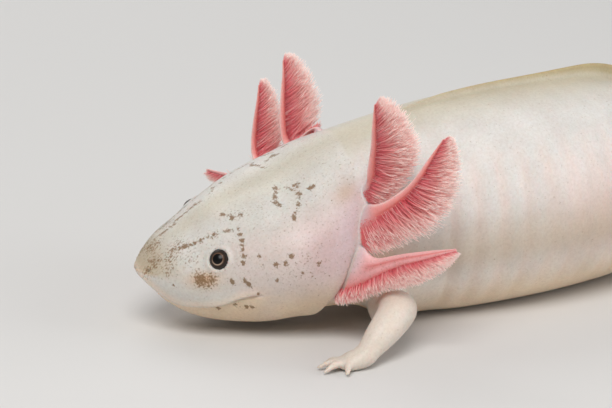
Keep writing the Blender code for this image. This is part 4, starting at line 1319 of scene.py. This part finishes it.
def paint_skin(thing, gills, limb_curves):
    """Puts the skin's colours, and how thick its freckles stand, on its points."""
    points = points_of(thing)
    s, angle, out = nearest_place(points)
    side = np.abs(angle)
    past_rim = s - through(RIM, 1, side)
    head = ease((0.8 - past_rim) / 1.2)
    trunk, skull = trunk_colour(s, side, out), head_colour(s, angle, past_rim)
    colour = trunk * (1 - head)[:, None] + skull * head[:, None]
    free = slice(len(ROOT_DEPTHS), None)
    for curve, radius in limb_curves:
        near = near_curve(points, curve[free], radius[free] * 1.6)
        near = np.maximum(near, near_curve(points, curve[-1:], HAND_REACH))
        colour = mixed(colour, ARM, ease(near / 0.3) * ease(out / 1.5))
    colour, blade, pale = paint_gills(points, out, colour, gills)
    put_colour(thing, "tint", colour)
    freckled = freckle_share(points, s, side, head)
    put_number(thing, "freckled", freckled * (1 - blade) + BLADE_SPECKS * blade * pale)


# the part of a limb's curve and of a blade's rings along which the skin is smoothed, and how often
LIMB_BLEND = slice(2, 14)
BLADE_BLEND = slice(3, 12)
BLEND_ROUNDS = 14


def blend_roots(thing, gills, limb_curves):
    """Smooths the skin where limbs and gills grow out of it."""
    points = points_of(thing)
    _, _, out = nearest_place(points)
    near = np.zeros(len(points))
    for curve, radius in limb_curves:
        root, reach = curve[LIMB_BLEND], radius[LIMB_BLEND] * 1.5
        near = np.maximum(near, ease(near_curve(points, root, reach) / 0.25))
    weights = near * bell(out - 0.3, 1.3)
    for gill in gills:
        root = gill.rings[BLADE_BLEND].reshape(-1, 3)[::3]
        weights = np.maximum(weights, 0.8 * ease(near_curve(points, root, 0.9) / 0.4) * bell(out, 0.5))
    smoothed(thing, weights, BLEND_ROUNDS)


def area_light(name, place, target, size, power, colour):
    light = bpy.data.lights.new(name, "AREA")
    light.shape = "DISK"
    light.size = size
    light.energy = power
    light.color = colour
    made = placed(name, light)
    made.location = place
    made.rotation_euler = (Vector(target) - Vector(place)).to_track_quat("-Z", "Y").to_euler()


FLOOR_RADIUS = 4.0
FLOOR_SEGMENTS = 96
FLOOR_TINT = (0.66, 0.65, 0.635, 1)
FLOOR_ROUGHNESS = 0.8
SKY_TINT = (0.86, 0.87, 0.88, 1)
SKY_STRENGTH = 0.36
# soft round lights: name, place and what it points at, width, all in metres, power in watts, colour
LIGHTS = (
    ("key", (-0.5, -0.42, 0.75), (-0.04, 0, 0.02), 0.6, 6.8, (1, 0.985, 0.97)),
    ("fill", (0.5, -0.6, 0.3), (0, 0, 0.02), 0.7, 2.6, (0.98, 0.985, 1)),
    ("back", (0.15, 0.6, 0.5), (0, 0, 0.02), 0.6, 1.8, (1, 1, 1)),
)


def stage_and_light():
    floor_mesh = bpy.data.meshes.new("floor")
    work = bmesh.new()
    bmesh.ops.create_circle(work, cap_ends=True, segments=FLOOR_SEGMENTS, radius=FLOOR_RADIUS)
    work.to_mesh(floor_mesh)
    work.free()
    floor = placed("floor", floor_mesh)
    _, finish = nodes_of("floor_pale")
    floor_mesh.materials.append(finish({"Base Color": FLOOR_TINT, "Roughness": FLOOR_ROUGHNESS}))
    world = bpy.data.worlds.new("studio")
    bpy.context.scene.world = world
    world.use_nodes = True
    sky = world.node_tree.nodes["Background"]
    sky.inputs["Color"].default_value = SKY_TINT
    sky.inputs["Strength"].default_value = SKY_STRENGTH
    for values in LIGHTS:
        area_light(*values)
    bpy.context.scene.view_settings.view_transform = "Standard"


AZIMUTH = -38.0
ELEVATION = 15.0
DISTANCE = 600.0
PIXELS_PER_MM = 5.35
PHOTO_SIZE = (612, 408)
SNOUT_PIXEL = (136.0, 268.0)
SENSOR_WIDTH = 36.0


def camera():
    """The camera at the photo's angle, placed so that the snout falls where it does in the photo."""
    azimuth, elevation = math.radians(AZIMUTH), math.radians(ELEVATION)
    right = np.array([math.cos(azimuth), math.sin(azimuth), 0.0])
    back = np.array([math.sin(azimuth) * math.cos(elevation), -math.cos(azimuth) * math.cos(elevation),
                     math.sin(elevation)])
    up = np.cross(back, right)
    snout = BODY.axes(0.0)[0]
    target = snout - right * (SNOUT_PIXEL[0] - PHOTO_SIZE[0] / 2) / PIXELS_PER_MM \
        + up * (SNOUT_PIXEL[1] - PHOTO_SIZE[1] / 2) / PIXELS_PER_MM
    lens = bpy.data.cameras.new("camera")
    lens.sensor_width = SENSOR_WIDTH
    lens.lens = SENSOR_WIDTH * PIXELS_PER_MM * DISTANCE / PHOTO_SIZE[0]
    lens.clip_start = 0.01
    made = placed("camera", lens)
    place = (target + back * DISTANCE + OFFSET) * MM
    turn = Matrix([[right[i], up[i], back[i]] for i in range(3)]).to_4x4()
    made.matrix_world = Matrix.Translation(place) @ turn
    bpy.context.scene.camera = made


FLESH = (
    "head", "neck", "torso_front", "torso_middle", "hips", "tail_base", "tail_middle", "tail_tip",
    "fin_back", "fin_tail_upper", "fin_tail_lower", "arm_left", "arm_right", "hand_left", "hand_right",
    "leg_left", "leg_right", "foot_left", "foot_right",
)


def dress():
    """All the visible pieces, each riding on the body and standing for its nodes."""
    gills = {name: Gill(*values) for name, values in GILLS.items()}
    skin = body_skin()
    limb_pieces, limb_curves = limbs()
    united(skin, limb_pieces + [gill.solid(name) for name, gill in gills.items()])
    blend_roots(skin, gills.values(), limb_curves)
    skin.data.materials.clear()
    skin.data.materials.append(skin_material())
    skin.data.shade_smooth()
    paint_skin(skin, gills.values(), limb_curves)
    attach(skin, "root")
    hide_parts(*FLESH)
    red = gill_material()
    for name, gill in gills.items():
        piece = filaments(name, gill, red)
        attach(piece, "root")
        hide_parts(name)
    glossy = eye_material()
    for name, side in (("eye_left", 1), ("eye_right", -1)):
        piece = eyeball(name.replace("eye", "eyeball"), side, glossy)
        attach(piece, "root")
        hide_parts(name)


camera()
stage_and_light()
dress()
